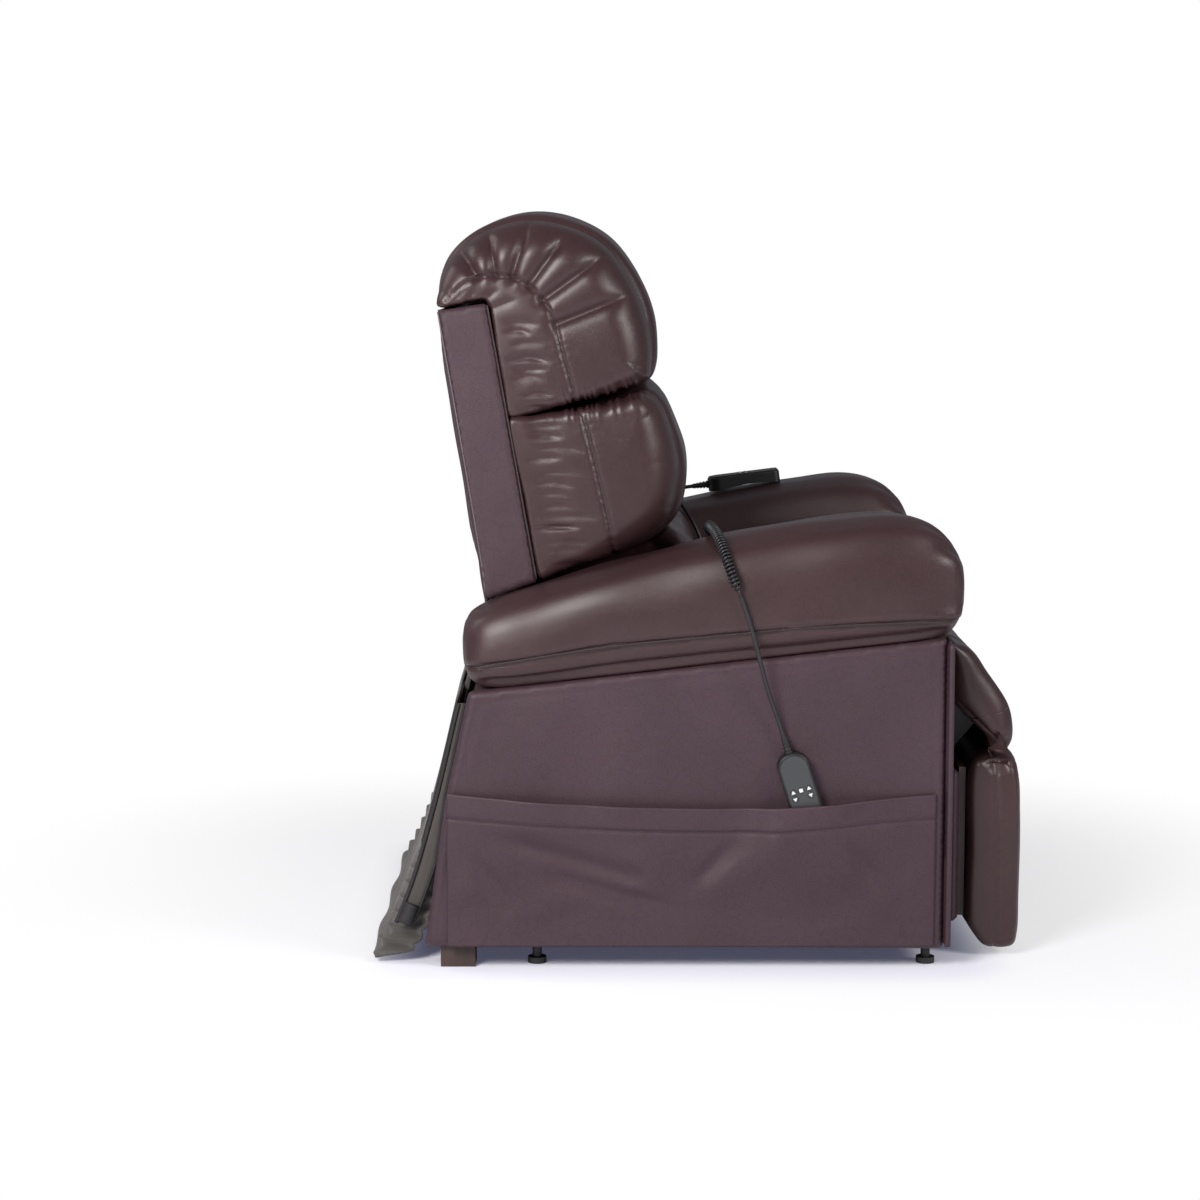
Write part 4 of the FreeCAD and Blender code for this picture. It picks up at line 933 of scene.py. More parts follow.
def dress(piece: bpy.types.Object, finish: Finish, body: Optional[str],
          replaces: Sequence[str] = ()) -> bpy.types.Object:
    """Give a piece its finish, body and what it stands for, and report it.

    Args:
        piece: the piece.
        finish: its finish.
        body: the body it rides on, or None for none.
        replaces: the model's nodes that it stands for.

    Returns:
        The piece.
    """
    piece.data.materials.clear()
    piece.data.materials.append(finish.material())
    if body:
        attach(piece, body)
    if replaces:
        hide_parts(*replaces)
    log.info("%s rides on %s", piece.name, body or "two bodies")
    return piece


# Studio
@dataclass
class Studio:
    """Floor, white surround, soft lamps and the camera."""

    camera_place: Point = (-4.46, 0.148, 1.0568)
    pitch: float = 7.06
    lens: float = 82.8
    floor_size: float = 14.0
    floor_points: int = 15
    floor_height: float = -0.0005
    ambient: float = 0.26
    lamp_colour: Point = (1.0, 0.965, 0.94)
    aim: Point = (0, 0, 0.5)
    # SHADOW is a painted shadow colour: the floor's camera-only glow takes it under the chair.
    SHADOW = (0.60, 0.62, 1.0, 1.0)
    FLOOR = ((0.92, 0.93, 0.985, 1.0), (0.94, 0.95, 1.0, 1.0))
    FOOTPRINT_MIDDLE = (0, 0.02, 0)
    FOOTPRINT_HALF = (0.40, 0.38, 0)
    LAMPS = (("key", (-3.0, 1.55, 2.05), 1.4, 134), ("front", (-2.3, -2.6, 2.0), 1.3, 62),
             ("rear", (0.4, 2.8, 2.6), 1.6, 20))

    def build(self) -> None:
        """Make everything that isn't the chair."""
        self.make_camera()
        self.make_floor()
        self.make_world()
        self.make_lamps()
        bpy.context.scene.view_settings.view_transform = "Standard"

    def make_camera(self) -> None:
        """The camera looks along +X, a little down."""
        data = bpy.data.cameras.new("camera")
        data.lens = self.lens
        data.sensor_width = 36.0
        camera = linked("camera", data)
        camera.location = self.camera_place
        camera.rotation_euler = (math.radians(90 - self.pitch), 0.0, math.radians(-90))
        bpy.context.scene.camera = camera

    def make_floor(self) -> None:
        """A pale floor that turns into plain white away from the chair, with a weak bluish glow painted into
        the shadow under it.
        """
        half, count = self.floor_size / 2, self.floor_points
        steps = np.linspace(-half, half, count)
        places = np.array([(x, y, self.floor_height) for y in steps for x in steps])
        floor = new_piece("floor", places, grid_faces(count, count, False))
        made = bpy.data.materials.new("pale_floor")
        graph = Graph(made)
        matt = graph.node("BsdfDiffuse", {}, {"Color": graph.blend(graph.noise(3.0), *self.FLOOR)})
        aside = graph.vector("ABSOLUTE", graph.vector("SUBTRACT", graph.here(), self.FOOTPRINT_MIDDLE))
        aside = graph.vector("MAXIMUM", graph.vector("SUBTRACT", aside, self.FOOTPRINT_HALF), (0, 0, 0))
        far = graph.vector("LENGTH", aside, output="Value")
        # Painted shadow: the glow is bluish under the chair and turns white within 12 cm outside its
        # footprint.
        shadow_tint_glow = graph.blend(far.eased(0.0, 0.12), self.SHADOW, WHITE)
        white = graph.node("Emission", {}, {"Color": shadow_tint_glow, "Strength": 1.0})
        seen = graph.node("LightPath", output="Is Camera Ray")
        share = (0.10 + 0.50 * far.eased(0.0, 0.16) + 0.40 * far.eased(0.1, 0.9)) * seen
        both = graph.node("MixShader", {}, {0: share, 1: matt, 2: white})
        graph.node("OutputMaterial", {}, {"Surface": both})
        floor.data.materials.append(made)

    def make_world(self) -> None:
        """Even pale light, with white where the camera looks past the chair."""
        world = bpy.data.worlds.new("surround")
        bpy.context.scene.world = world
        graph = Graph(world)
        light = graph.node("Background", {}, {"Color": (0.90, 0.92, 1.0, 1), "Strength": self.ambient})
        white = graph.node("Background", {}, {"Color": WHITE, "Strength": 1.0})
        path = graph.node("LightPath", output="Is Camera Ray")
        both = graph.node("MixShader", {}, {0: path, 1: light, 2: white})
        graph.node("OutputWorld", {}, {"Surface": both})

    def make_lamps(self) -> None:
        """A large soft lamp from the near side, one from the front and a weak one from behind."""
        for name, place, size, power in self.LAMPS:
            data = bpy.data.lights.new(name, "AREA")
            data.shape = "DISK"
            data.size = size
            data.energy = power
            data.color = self.lamp_colour
            lamp = linked(name, data)
            lamp.location = place
            lamp.rotation_euler = (Vector(self.aim) - Vector(place)).to_track_quat("-Z", "Y").to_euler()


# Cords
@dataclass
class Cords:
    """Cords of both hand controls: curly and straight on the right, straight on the left."""

    lead_diameter: float = 0.0065
    curl_diameter: float = 0.017
    curl_wire: float = 0.0038
    curl_pitch: float = 0.0055
    steps: int = 14

    LENGTHS = {"right": 0.222, "left": 0.263}
    COIL_ROUTE = [(-.253, -.042, .522), (-.253, -.04, .556), (-.258, -.034, .592), (-.275, -.026, .628),
                  (-.307, -.017, .651), (-.345, -.014, .66), (-.384, -.018, .661), (-.425, -.026, .651),
                  (-.458, -.036, .626), (-.473, -.047, .593), (-.472, -.057, .568)]
    RIGHT_ROUTE = [(-.472, -.057, .568), (-.47, -.066, .544), (-.468, -.077, .508), (-.461, -.088, .466),
                   (-.453, -.098, .428), (-.4426, -.1154, .3795), (-.4426, -.12235, .35823)]
    LEFT_ROUTE = [(.255, -.036, .518), (.255, -.032, .552), (.257, -.022, .588), (.268, -.004, .622),
                  (.29, .016, .645), (.318, .032, .652), (.346, .036, .652), (.362, .022, .655),
                  (.365, .0058, .6577), (.365, -.0136, .6602)]

    def build(self) -> None:
        for side, route in (("right", self.RIGHT_ROUTE), ("left", self.LEFT_ROUTE)):
            cord = self.smooth_line(f"{side}_lead", route, self.lead_diameter)
            dress(cord, CORD_RUBBER, "chair", [f"{side}_cord_lead"])
        self.make_coil()

    @staticmethod
    def smooth_line(name: str, route: Sequence[Point], diameter: float) -> bpy.types.Object:
        """Make a NURBS curve.

        Args:
            name: its name.
            route: its control points.
            diameter: how thick it is.

        Returns:
            The object.
        """
        data = bpy.data.curves.new(name, "CURVE")
        data.dimensions = "3D"
        line = data.splines.new("NURBS")
        line.points.add(len(route) - 1)
        for point, place in zip(line.points, route):
            point.co = (*place, 1.0)
        line.order_u = 3
        line.use_endpoint_u = True
        data.resolution_u = 24
        data.bevel_depth = diameter / 2
        data.bevel_resolution = 4
        data.use_fill_caps = True
        return linked(name, data)

    def make_coil(self) -> None:
        """Wind the curly cord round its route."""
        guide = self.smooth_line("coil_route", self.COIL_ROUTE, 0.0)
        bpy.context.view_layer.update()
        mesh = bpy.data.meshes.new_from_object(guide.evaluated_get(bpy.context.evaluated_depsgraph_get()))
        line = read(mesh.vertices, "co")
        bpy.data.objects.remove(guide)
        count = int(lengths_along(line)[-1] / self.curl_pitch) * self.steps
        centres = resample(line, count + 1)
        along = headings(centres)
        side = np.cross(along[0], (0.3, 0.2, 1.0))
        straight = 1.2 * self.curl_wire * self.steps / self.curl_pitch
        angle, wound = 0.0, []
        for index, (centre, direction) in enumerate(zip(centres, along)):
            side = side - direction * (side @ direction)
            side /= np.linalg.norm(side)
            share = float(np.clip((min(index, count - index) - straight) / (3 * self.steps), 0, 1))
            radius = (self.curl_diameter - self.curl_wire) / 2 * share ** 2 * (3 - 2 * share)
            angle += 2 * math.pi / self.steps * (0.3 + 0.7 * share)
            around = math.cos(angle) * side + math.sin(angle) * np.cross(direction, side)
            wound.append(centre + radius * around)
        wound = np.asarray(wound)
        coil = tubes("curly_cord", [(wound, self.curl_wire / 2)], 10)
        dress(coil, CORD_RUBBER, "chair", ["right_cord_coil"])


# Back
@dataclass
class Back:
    """Head, middle and lumbar pillows, side strips and the rear panel."""

    half: float = 0.355
    lumbar_half: float = 0.261
    channel: float = 0.276
    channel_depth: float = 0.015
    channel_width: float = 0.011
    unevenness: float = 0.0022
    feature: float = 0.16
    tuck_height: float = 0.862
    fold_depth: float = 0.0018
    panel_half: float = 0.3435
    panel_depth: float = 0.0074
    strip_inner: float = 0.3445
    strip_outer: float = 0.36
    end_start: float = 0.3
    end_full: float = 0.324
    PANEL_FOOT = (.3207, .5632)
    PANEL_HEAD = (.3885, .9805)
    REAR_PIPING = [(-.3588, .388, .978), (-.3588, .3555, .79), (-.3588, .321, .575), (-.3588, .32, .56)]
    FRONT_PIPING = [(-.359, .315, .988), (-.359, .279, .784), (-.359, .243, .58)]

    HEAD = [(.3895, .984, .01), (.3925, 1.01, .03), (.388, 1.04), (.374, 1.07, .05), (.334, 1.104),
            (.265, 1.127), (.196, 1.1225, .055), (.137, 1.093), (.094, 1.043), (.066, .979, .055),
            (.059, .928), (.061, .895, .045), (.07, .876), (.092, .8655, .026), (.1376, .8495),
            (.1777, .8415, .018), (.2521, .8258, .012), (.2845, .8225, .007), (.2935, .87),
            (.3025, .92, .007), (.3125, .978), (.32, .9925, .008), (.352, .9885), (.38, .983, .008)]
    MIDDLE = [(.2835, .819, .007), (.2521, .8226, .012), (.1777, .8383, .018), (.1376, .8463),
              (.092, .86, .026), (.07, .857), (.048, .842, .045), (.029, .806), (.014, .762, .055),
              (.0125, .716), (.023, .674, .055), (.046, .645), (.082, .623, .045), (.12, .61),
              (.1555, .5985, .03), (.208, .586), (.236, .5775, .012), (.243, .59, .007), (.2635, .7, .007)]
    LUMBAR = [(.03, .645), (.006, .641), (-.008, .622), (-.014, .592), (-.006, .556), (.016, .529),
              (.06, .519), (.13, .5165), (.198, .519), (.221, .526), (.236, .543), (.256, .558), (.275, .569),
              (.275, .579), (.252, .579), (.222, .58), (.17, .59), (.12, .601), (.07, .621)]
    STRIP = [(.3885, .98), (.3155, .9905), (.2425, .576), (.3205, .548)]
    SEAM = [(.3863, .9851), (.3491, 1.0189), (.3269, 1.0292), (.2796, 1.0292), (.256, 1.0174), (.2353, .9969),
            (.2191, .9718), (.2014, .9069), (.1837, .8446)]
    LOW_SEAM = [(.183, .836), (.1748, .8227), (.1555, .7508), (.1301, .6385), (.127, .611)]
    TUCK = [(.2521, .8238), (.1777, .8402), (.1376, .8476), (.0886, .8639)]
    PLEATS = [((.329, 1.0285), (.366, 1.079)), ((.3033, 1.0305), (.316, 1.102)),
              ((.2796, 1.027), (.252, 1.123)), ((.2545, 1.016), (.193, 1.1)),
              ((.2339, .9945), (.136, 1.065)), ((.2117, .96), (.1, 1.005))]
    SIDE_FOLDS = [((.37, .9894), (.3383, 1.0203)), ((.3217, .9924), (.2944, 1.0156)),
                  ((.3094, .9821), (.2664, .9983)), ((.345, .993), (.33, 1.012))]

    def build(self) -> None:
        """Make the back's pieces."""
        pleats = [Groove(line, depth=0.0125, width=0.0075, fade=0.35, crease=True) for line in self.PLEATS]
        pleats += [Groove(line, depth=0.0032, width=0.005, fade=0.5, crease=True) for line in self.SIDE_FOLDS]
        self.make_pillow("head", self.HEAD, 0.0032, self.SEAM, pleats + self.wrinkles(0.838, 0.965, 8, 3), 11,
                         "head_pillow", self.SEAM[1:])
        self.make_pillow("middle", self.MIDDLE, 0.0034, self.LOW_SEAM, self.wrinkles(0.6, 0.812, 13, 8), 23,
                         "mid_pillow", self.LOW_SEAM[:-1])
        self.make_lumbar()
        self.make_strips()
        self.make_rear_panel()

    def make_pillow(self, word: str, outline: Sequence[Point], spacing: float, seam: Sequence[Point],
                    folds: list[Groove], seed: int, node: str, thread: Sequence[Point]) -> None:
        """Make a pillow with its seam, folds and channels, and the thread in its seam.

        Args:
            word: starts the names of its pieces.
            outline: its side view.
            spacing: distance of its points.
            seam: line of the seam on its ends.
            folds: the other grooves on its ends.
            seed: picks its unevenness.
            node: the model's node that it stands for.
            thread: line of the thread.
        """
        body = Padded(f"{word}_cushion", outline, -self.half, self.half, 0.05, drawn=0.018, spacing=spacing,
                      station=0.006, dome=0.004).build()
        grooves = [Groove(seam, depth=0.004, width=0.0034, pucker=0.1, pitch=0.0135)] + folds
        tuck = Groove(self.TUCK, depth=0.004, width=0.005, pucker=0.75, pitch=0.012)

        def height(places: Array) -> Array:
            """Add up the grooves, the tuck and the face's detail.

            Args:
                places: points on the pillow.

            Returns:
                The height at each point.
            """
            flat = places[:, 1:]
            end = ease(abs(places[:, 0]), self.end_start, self.end_full)
            total = end * sum(groove.height(flat) for groove in grooves)
            total += end * ease(-places[:, 1], -0.235, -0.17) * tuck.height(flat)
            return total + self.face_detail(places, seed)

        push(body, height)
        dress(body, LEATHER, "backrest", [node])
        lines = [(laid_on(body, spline(thread, 110), side, -0.0001), 0.0008) for side in (NEAR, FAR)]
        dress(tubes(f"{word}_thread", lines, 6), STITCH, "backrest")

    def face_detail(self, places: Array, seed: int) -> Array:
        """Side channels, soft unevenness and small folds that run into the tuck.

        Args:
            places: points on the pillow.
            seed: picks the unevenness.

        Returns:
            The height at each point.
        """
        x, y, z = places.T
        ahead = np.maximum(ease(-y, -0.34, -0.24), ease(z, 1.03, 1.08))
        channel = -self.channel_depth * bell(abs(x), self.channel, self.channel_width)
        front = ease(-y, -0.22, -0.1)
        folds = np.cos(2 * math.pi * x / 0.033 + 3.6 * np.sin(x * 13 + seed))
        near = bell(z, self.tuck_height, 0.024)
        soft = self.unevenness * crumple(places, self.feature, seed)
        return ahead * channel + soft + self.fold_depth * front * near * folds

    def wrinkles(self, low: float, high: float, count: int, seed: int) -> list[Groove]:
        """Level wrinkles across the boxing, from near the strip towards the seam.

        Args:
            low: height of the lowest.
            high: height of the highest.
            count: how many there are.
            seed: picks their lengths and depths.

        Returns:
            The wrinkles.
        """
        chance = np.random.default_rng(seed)
        seam = np.asarray(sorted(self.LOW_SEAM + self.SEAM[4:], key=lambda spot: spot[1]))
        strip = np.asarray(self.STRIP[2:0:-1])
        made = []
        for height in np.linspace(low, high, count) + chance.uniform(-0.005, 0.005, count):
            rear = np.interp(height, strip[:, 1], strip[:, 0]) - 0.01
            width = rear - np.interp(height, seam[:, 1], seam[:, 0]) - 0.006
            start = rear - chance.uniform(0.0, 0.15) * width
            length = chance.uniform(0.5, 0.95) * width
            middle = (start - length / 2, height + chance.uniform(-0.001, 0.006))
            line = [(start, height), middle, (start - length, height + chance.uniform(-0.005, 0.004))]
            depth, broad = chance.uniform(0.0026, 0.0052), chance.uniform(0.0035, 0.0062)
            made.append(Groove(line, depth, broad, taper=0.5 * length, crease=chance.random() < 0.65))
        return made

    def make_lumbar(self) -> None:
        """Lumbar roll between the arms."""
        body = Padded("lumbar_cushion", self.LUMBAR, -self.lumbar_half, self.lumbar_half, 0.032, drawn=0.008,
                      spacing=0.005).build()
        swell(body, 0.005, 0.011)
        push(body, lambda places: 0.002 * crumple(places, 0.14, 5))
        dress(body, LEATHER, "backrest", ["lumbar_pillow"])

    def make_strips(self) -> None:
        """Padded strips up both sides of the back, piped along their edges."""
        for side, word in SIDES:
            low, high = sorted((side * self.strip_inner, side * self.strip_outer))
            strip = Padded(f"back_strip_{word}", self.STRIP, low, high, 0.0045, smooth=False, spacing=0.006,
                           station=0.003, corner=0.005).build()
            push(strip, lambda places: 0.0007 * crumple(places[:, 1:], 0.08, 37))
            dress(strip, PANEL_LEATHER, "backrest", [f"back_side_{word}"])
        # The rear piping's pale colour is a painted highlight along the strips' rear edges.
        piping("rear_piping", spline(self.REAR_PIPING, 60), 0.0012, HIGHLIGHT_PIPING, "backrest")
        # The front piping's dark colour is painted shade along the strips' front edges.
        piping("front_piping", spline(self.FRONT_PIPING, 60), 0.0015, SHADED_PIPING, "backrest")

    def make_rear_panel(self) -> None:
        """Padded cloth over the back's rear, with an upright seam at each side."""
        rows, columns = 70, 90
        across, down = np.meshgrid(np.linspace(-1, 1, columns), np.linspace(0, 1, rows))
        edge = np.minimum(1 - abs(across), np.minimum(down, 1 - down) * 0.62)
        bulge = 0.009 * ease(edge, 0, 0.16) - 0.003 * bell(abs(across), 0.72, 0.012)
        flat = np.stack([across, down], axis=-1).reshape(-1, 2)
        bulge = bulge + 0.0012 * crumple(flat * (0.34, 0.42), 0.13, 31).reshape(rows, columns)
        low, high = np.array(self.PANEL_FOOT), np.array(self.PANEL_HEAD)
        way = (high - low) / np.linalg.norm(high - low)
        out = np.array((way[1], -way[0]))

        def surface(lift: Array) -> Array:
            """The panel's grid, lifted off the board."""
            spot = high + (low - high) * down[..., None] + out * lift[..., None]
            return np.concatenate([across[..., None] * self.panel_half, spot], axis=-1)

        inner = surface(np.full((rows, columns), -self.panel_depth))
        panel = shell("rear_panel", surface(0.0004 + bulge), inner)
        dress(panel, PANEL_LEATHER, "backrest", ["rear_cover"])


@dataclass
class Skirt:
    """Cloth from the back's lower edge to the floor, folded like bellows near it, with bands down its sides.

    Widths are half widths: narrow between the arms and wide below them.
    """

    narrow: float = 0.264
    wide: float = 0.392
    fold_height: float = 0.008
    fold_pitch: float = 0.0245
    ahead: float = 0.052
    outer: float = 0.0015
    inner: float = -0.0012

    PATH = [(.3165, .5655), (.3215, .54), (.359, .412), (.398, .252), (.4365, .122), (.473, .036),
            (.493, .0075)]
    BEND = {"start": (0, .4, .34), "end": (0, .32, .56)}
    LOW_BAND = (0.3945, 0.062, 0.4, 0.026)
    HIGH_BAND = (0.265, 0.396, 0.53, 0.015)
    PANEL_EDGE = ((.034, .259, .42, .6), (.41, .378, .343, .25))

    def build(self) -> None:
        """Make the cloth, its bands and their binding."""
        path = spline(self.PATH, 170)
        skirt = dress(self.make_cloth(path), SKIRT_CLOTH, None, ["rear_skirt"])
        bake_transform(skirt)
        edging = self.make_bands(path) + [self.make_binding(path)]
        for piece in edging:
            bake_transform(piece)

    def make_cloth(self, path: Array) -> bpy.types.Object:
        """Make the folded cloth, whose sides turn forwards.

        Args:
            path: its line in the side view, from the top down.

        Returns:
            The object.
        """
        along = lengths_along(path)
        heading = headings(path)
        out = np.column_stack([-heading[:, 1], heading[:, 0]])
        across = np.linspace(-1, 1, 120)
        width = self.narrow + (self.wide - self.narrow) * ease(-path[:, 1], -0.412, -0.4)
        low = (ease(-path[:, 1], -0.19, -0.14) * ease(path[:, 1], 0.004, 0.02))[:, None]
        side = 0.35 + 0.65 * ease(abs(across), 0.55, 0.95)[None, :]
        pleat = 1 - 2 * abs(np.sin(math.pi * along / self.fold_pitch))
        fold = self.fold_height * low * side * pleat[:, None]
        drift = 0.003 * (1 - low) * np.sin(across * 9.5)[None, :] * ease(along, 0.02, 0.12)[:, None]
        returned = ease(abs(across), 0.87, 1.0)[None, :]
        lift = fold + drift * (1 - returned)

        def surface(extra: float) -> Array:
            """Draw one face of the cloth.

            Args:
                extra: how far it is moved out.

            Returns:
                Its grid.
            """
            spot = path[:, None, :] + out[:, None, :] * (lift * (1 - 0.6 * returned) + extra)[..., None]
            spot[..., 0] -= self.ahead * low * returned ** 1.5
            outwards = np.sign(across)[None, :] * returned * (0.6 * fold + extra - 0.006)
            return np.concatenate([(width[:, None] * across[None, :] + outwards)[..., None], spot], axis=-1)

        return shell("skirt", surface(self.outer), surface(self.inner))

    def band_edges(self, path: Array, low: float, high: float, reach: float) -> tuple[Array, Array]:
        """Find the edges of a band that closes the skirt's side, ahead of the panel's rear edge.

        Args:
            path: the skirt's line.
            low: height of the band's foot.
            high: height of its top.
            reach: how wide it is.

        Returns:
            Its rear and its front edge.
        """
        shown = path[(path[:, 1] > low) & (path[:, 1] < high)]
        panel = np.interp(shown[:, 1], *self.PANEL_EDGE)
        rear = shown[:, 0] - 0.0045
        front = np.maximum(rear - reach, panel + 0.0018)
        return np.column_stack([rear, shown[:, 1]]), np.column_stack([front, shown[:, 1]])

    def make_bands(self, path: Array) -> list[bpy.types.Object]:
        """Flat cloth bands down both sides, wide below the arms and narrow between them.

        Args:
            path: the skirt's line.

        Returns:
            The four bands.
        """
        made = []
        share = np.linspace(0, 1, 8)[None, :, None]
        bulge = 0.0014 * np.sin(math.pi * share)
        for word, (place, *limits) in (("low", self.LOW_BAND), ("high", self.HIGH_BAND)):
            rear, front = self.band_edges(path, *limits)
            flat = rear[:, None, :] + (front - rear)[:, None, :] * share
            for side, name in SIDES:
                outer, inner = (np.concatenate([side * (place + lift) + 0 * flat[..., :1], flat], axis=-1)
                                for lift in (bulge, -0.0022))
                band = shell(f"skirt_band_{word}_{name}", outer, inner)
                made.append(dress(band, SKIRT_CLOTH, None))
        return made

    def make_binding(self, path: Array) -> bpy.types.Object:
        """Black binding along the lower bands' edges, with an end piece near the floor.

        Args:
            path: the skirt's line.

        Returns:
            The object.
        """
        lines = []
        place, *limits = self.LOW_BAND
        for index, edge in enumerate(self.band_edges(path, *limits)):
            line = np.column_stack([np.full(len(edge), -place), edge])
            lines += [(side, 0.0034 - 0.001 * index) for side in both_sides(line)]
            if index == 0:
                lines += [(side, 0.012) for side in both_sides(line[-10:] - (0.0, 0.013, 0.0))]
        return dress(tubes("skirt_binding", lines, 12), BINDING, None)


# Arms
@dataclass
class Arms:
    """Arm pads, side panels with their rolled front borders, and the front facings."""

    outer: float = 0.46
    inner: float = 0.27
    middle: float = 0.365
    rear: float = 0.349
    front: float = -0.387
    board_middle: float = 0.352
    board_half: float = 0.085
    panel_outer: float = 0.43
    panel_inner: float = 0.41
    facing_front: float = -0.374
    facing_rear: float = -0.3653
    box_inner: float = 0.277
    border_radius: float = 0.0046
    welt_place: float = 0.4572
    clearance: float = 0.0004
    FACING = [(.2765, .034), (.4285, .034), (.4285, .4965), (.2765, .4965)]
    BORDER = [(-.3712, .492), (-.3716, .3), (-.3712, .036)]
    GATHERS = ((-0.362, -0.387, 0.032, 11, 0.0024), (0.338, 0.349, 0.024, 11, 0.0016))

    STATIONS = [(0.0, .04, .058, .62), (.012, .02, .09, .8), (.035, .007, .112, .93), (.08, .001, .128, .985),
                (.15, 0, .14, 1), (.34, 0, .165, 1), (.55, 0, .184, 1), (.74, 0, .191, 1), (.84, 0, .19, 1),
                (.9, 0, .18, .995), (.945, .003, .159, .975), (.975, .009, .131, .92),
                (.992, .023, .098, .82), (1.0, .04, .068, .68)]
    SECTION = [(-.78, 0), (0, -.002), (.78, 0), (.965, .1), (.985, .3), (.985, .56), (.93, .74), (.8, .88),
               (.42, .985), (0, 1), (-.42, .985), (-.8, .88), (-.93, .74), (-.985, .56), (-.985, .3),
               (-.965, .1)]
    SEAM = [(.349, .459), (.3312, .4607), (.2608, .4726), (.1378, .4918), (-.0086, .5066), (-.1548, .5199),
            (-.301, .5273), (-.3639, .5287), (-.387, .529)]
    PANEL = [(.41, .034), (-.365, .031), (-.365, .5012), (.343, .42), (.378, .259)]

    def build(self) -> None:
        """Make both arms."""
        for side, word in SIDES:
            self.make_pad(side, word)
            self.make_panel(side, word)
        self.make_facings()
        self.make_trim()

    @staticmethod
    def underside(y: Array) -> Array:
        """Height of the arm pad's underside."""
        return 0.46 - 0.1148 * y

    def make_pad(self, side: int, word: str) -> None:
        """Make one arm pad.

        Args:
            side: NEAR or FAR.
            word: the side's name.
        """
        table = np.array([(share, lift, height, width * 0.1) for share, lift, height, width in self.STATIONS])
        stations = spline(table * (self.rear - self.front, 1, 1, 1), 130)
        section = spline(self.SECTION, 170, True)
        half = (self.outer - self.inner) / 2
        rings = []
        for along, lift, height, width in stations:
            y = self.rear - along
            x = side * (self.middle + section[:, 0] * half * width * 10)
            z = float(self.underside(y)) + lift + section[:, 1] * height + self.clearance
            rings.append(np.column_stack([x, np.full(len(section), y), z]))
        pad = wrap(f"arm_cushion_{word}", np.stack(rings), 9, 0.004)
        push(pad, lambda places: self.pad_detail(places, side))
        reshape(pad, lambda places, normals: self.keep_clear(places))
        dress(pad, LEATHER, "chair", [f"arm_pad_{word}"])

    def keep_clear(self, places: Array) -> Array:
        """Keep the pad's underside above the boards and panels.

        Args:
            places: points on the pad.

        Returns:
            The points, moved up where they were too low.
        """
        floor = self.underside(places[:, 1]) + self.clearance
        inside = abs(abs(places[:, 0]) - self.board_middle) < self.board_half
        places[:, 2] = np.where(inside, np.maximum(places[:, 2], floor), places[:, 2])
        return places

    def pad_detail(self, places: Array, side: int) -> Array:
        """Seam above the lower band, end gathers and soft unevenness.

        Args:
            places: points on the pad.
            side: NEAR or FAR.

        Returns:
            The height at each point.
        """
        x, y, z = places.T
        upright = ease(abs(abs(x) - self.middle), 0.055, 0.08)
        seam = Groove(self.SEAM, depth=0.0055, width=0.0036, pucker=0.08, pitch=0.016)
        total = upright * seam.height(places[:, 1:])
        seam_line = spline(self.SEAM, 60)
        seam_height = np.interp(-y, -seam_line[:, 0], seam_line[:, 1])
        ends = ease(np.minimum(self.rear - y, y - self.front), 0.004, 0.045)
        lean = 0.3 * ends * np.clip(seam_height - z, 0, 0.05)
        total += upright * np.where(z < seam_height, -0.0042 - lean, 0.002)
        return total + self.end_gathers(places, seam_height) + 0.0016 * crumple(places, 0.13, 41 + side)

    def end_gathers(self, places: Array, seam_height: Array) -> Array:
        """Pleats that fan out round both ends of the roll.

        Args:
            places: points on the pad.
            seam_height: the seam's height at each.

        Returns:
            The height at each point.
        """
        x, y, z = places.T
        angle = np.arctan2(z - (seam_height + 0.045), x - np.sign(x) * self.middle)
        above = ease(z - seam_height, -0.002, 0.012)
        total = np.zeros(len(places))
        for middle, end, reach, count, depth in self.GATHERS:
            wave = np.cos(count * angle + 2.3 * np.sin(3 * angle))
            total += depth * bell(y, middle, reach) * above * (wave - 0.4) * ease(abs(y - end), 0.0, 0.012)
        return total

    def make_panel(self, side: int, word: str) -> None:
        """Make one side panel, softly padded on its outer face.

        Args:
            side: NEAR or FAR.
            word: the side's name.
        """
        low, high = sorted((side * self.panel_inner, side * self.panel_outer))
        panel = Padded(f"side_cover_{word}", self.PANEL, low, high, 0.0085, smooth=False, spacing=0.0065,
                       station=0.004, corner=0.006).build()
        push(panel, lambda places: self.panel_detail(places, side))
        dress(panel, PANEL_LEATHER, "chair", [f"side_panel_{word}"])

    def panel_detail(self, places: Array, side: int) -> Array:
        """Slow waves of the leather over the board.

        Args:
            places: points on the panel.
            side: NEAR or FAR.

        Returns:
            The height at each point.
        """
        facing = ease(side * places[:, 0], 0.418, 0.429)
        flat = places[:, 1:]
        slow = 0.0015 * crumple(flat, 0.17, 61 + side) + 0.0002 * crumple(flat, 0.06, 71 + side)
        edge, _ = beside(flat, np.vstack([self.PANEL, self.PANEL[:1]]))
        return facing * (slow * ease(edge, 0.0, 0.03) - 0.0012 * bell(edge, 0.016, 0.005))

    def make_facings(self) -> None:
        """Padded strips on the front edges of both side boxes."""
        for side, word in SIDES:
            outline = [(side * x, z) for x, z in self.FACING]
            facing = Padded(f"front_facing_{word}", outline, self.facing_front, self.facing_rear, 0.0042,
                            Across.Y, smooth=False, spacing=0.006, station=0.003, corner=0.008).build()
            push(facing, lambda places: 0.001 * crumple(places, 0.12, 81))
            dress(facing, PANEL_LEATHER, "chair", ["arm_facings"])

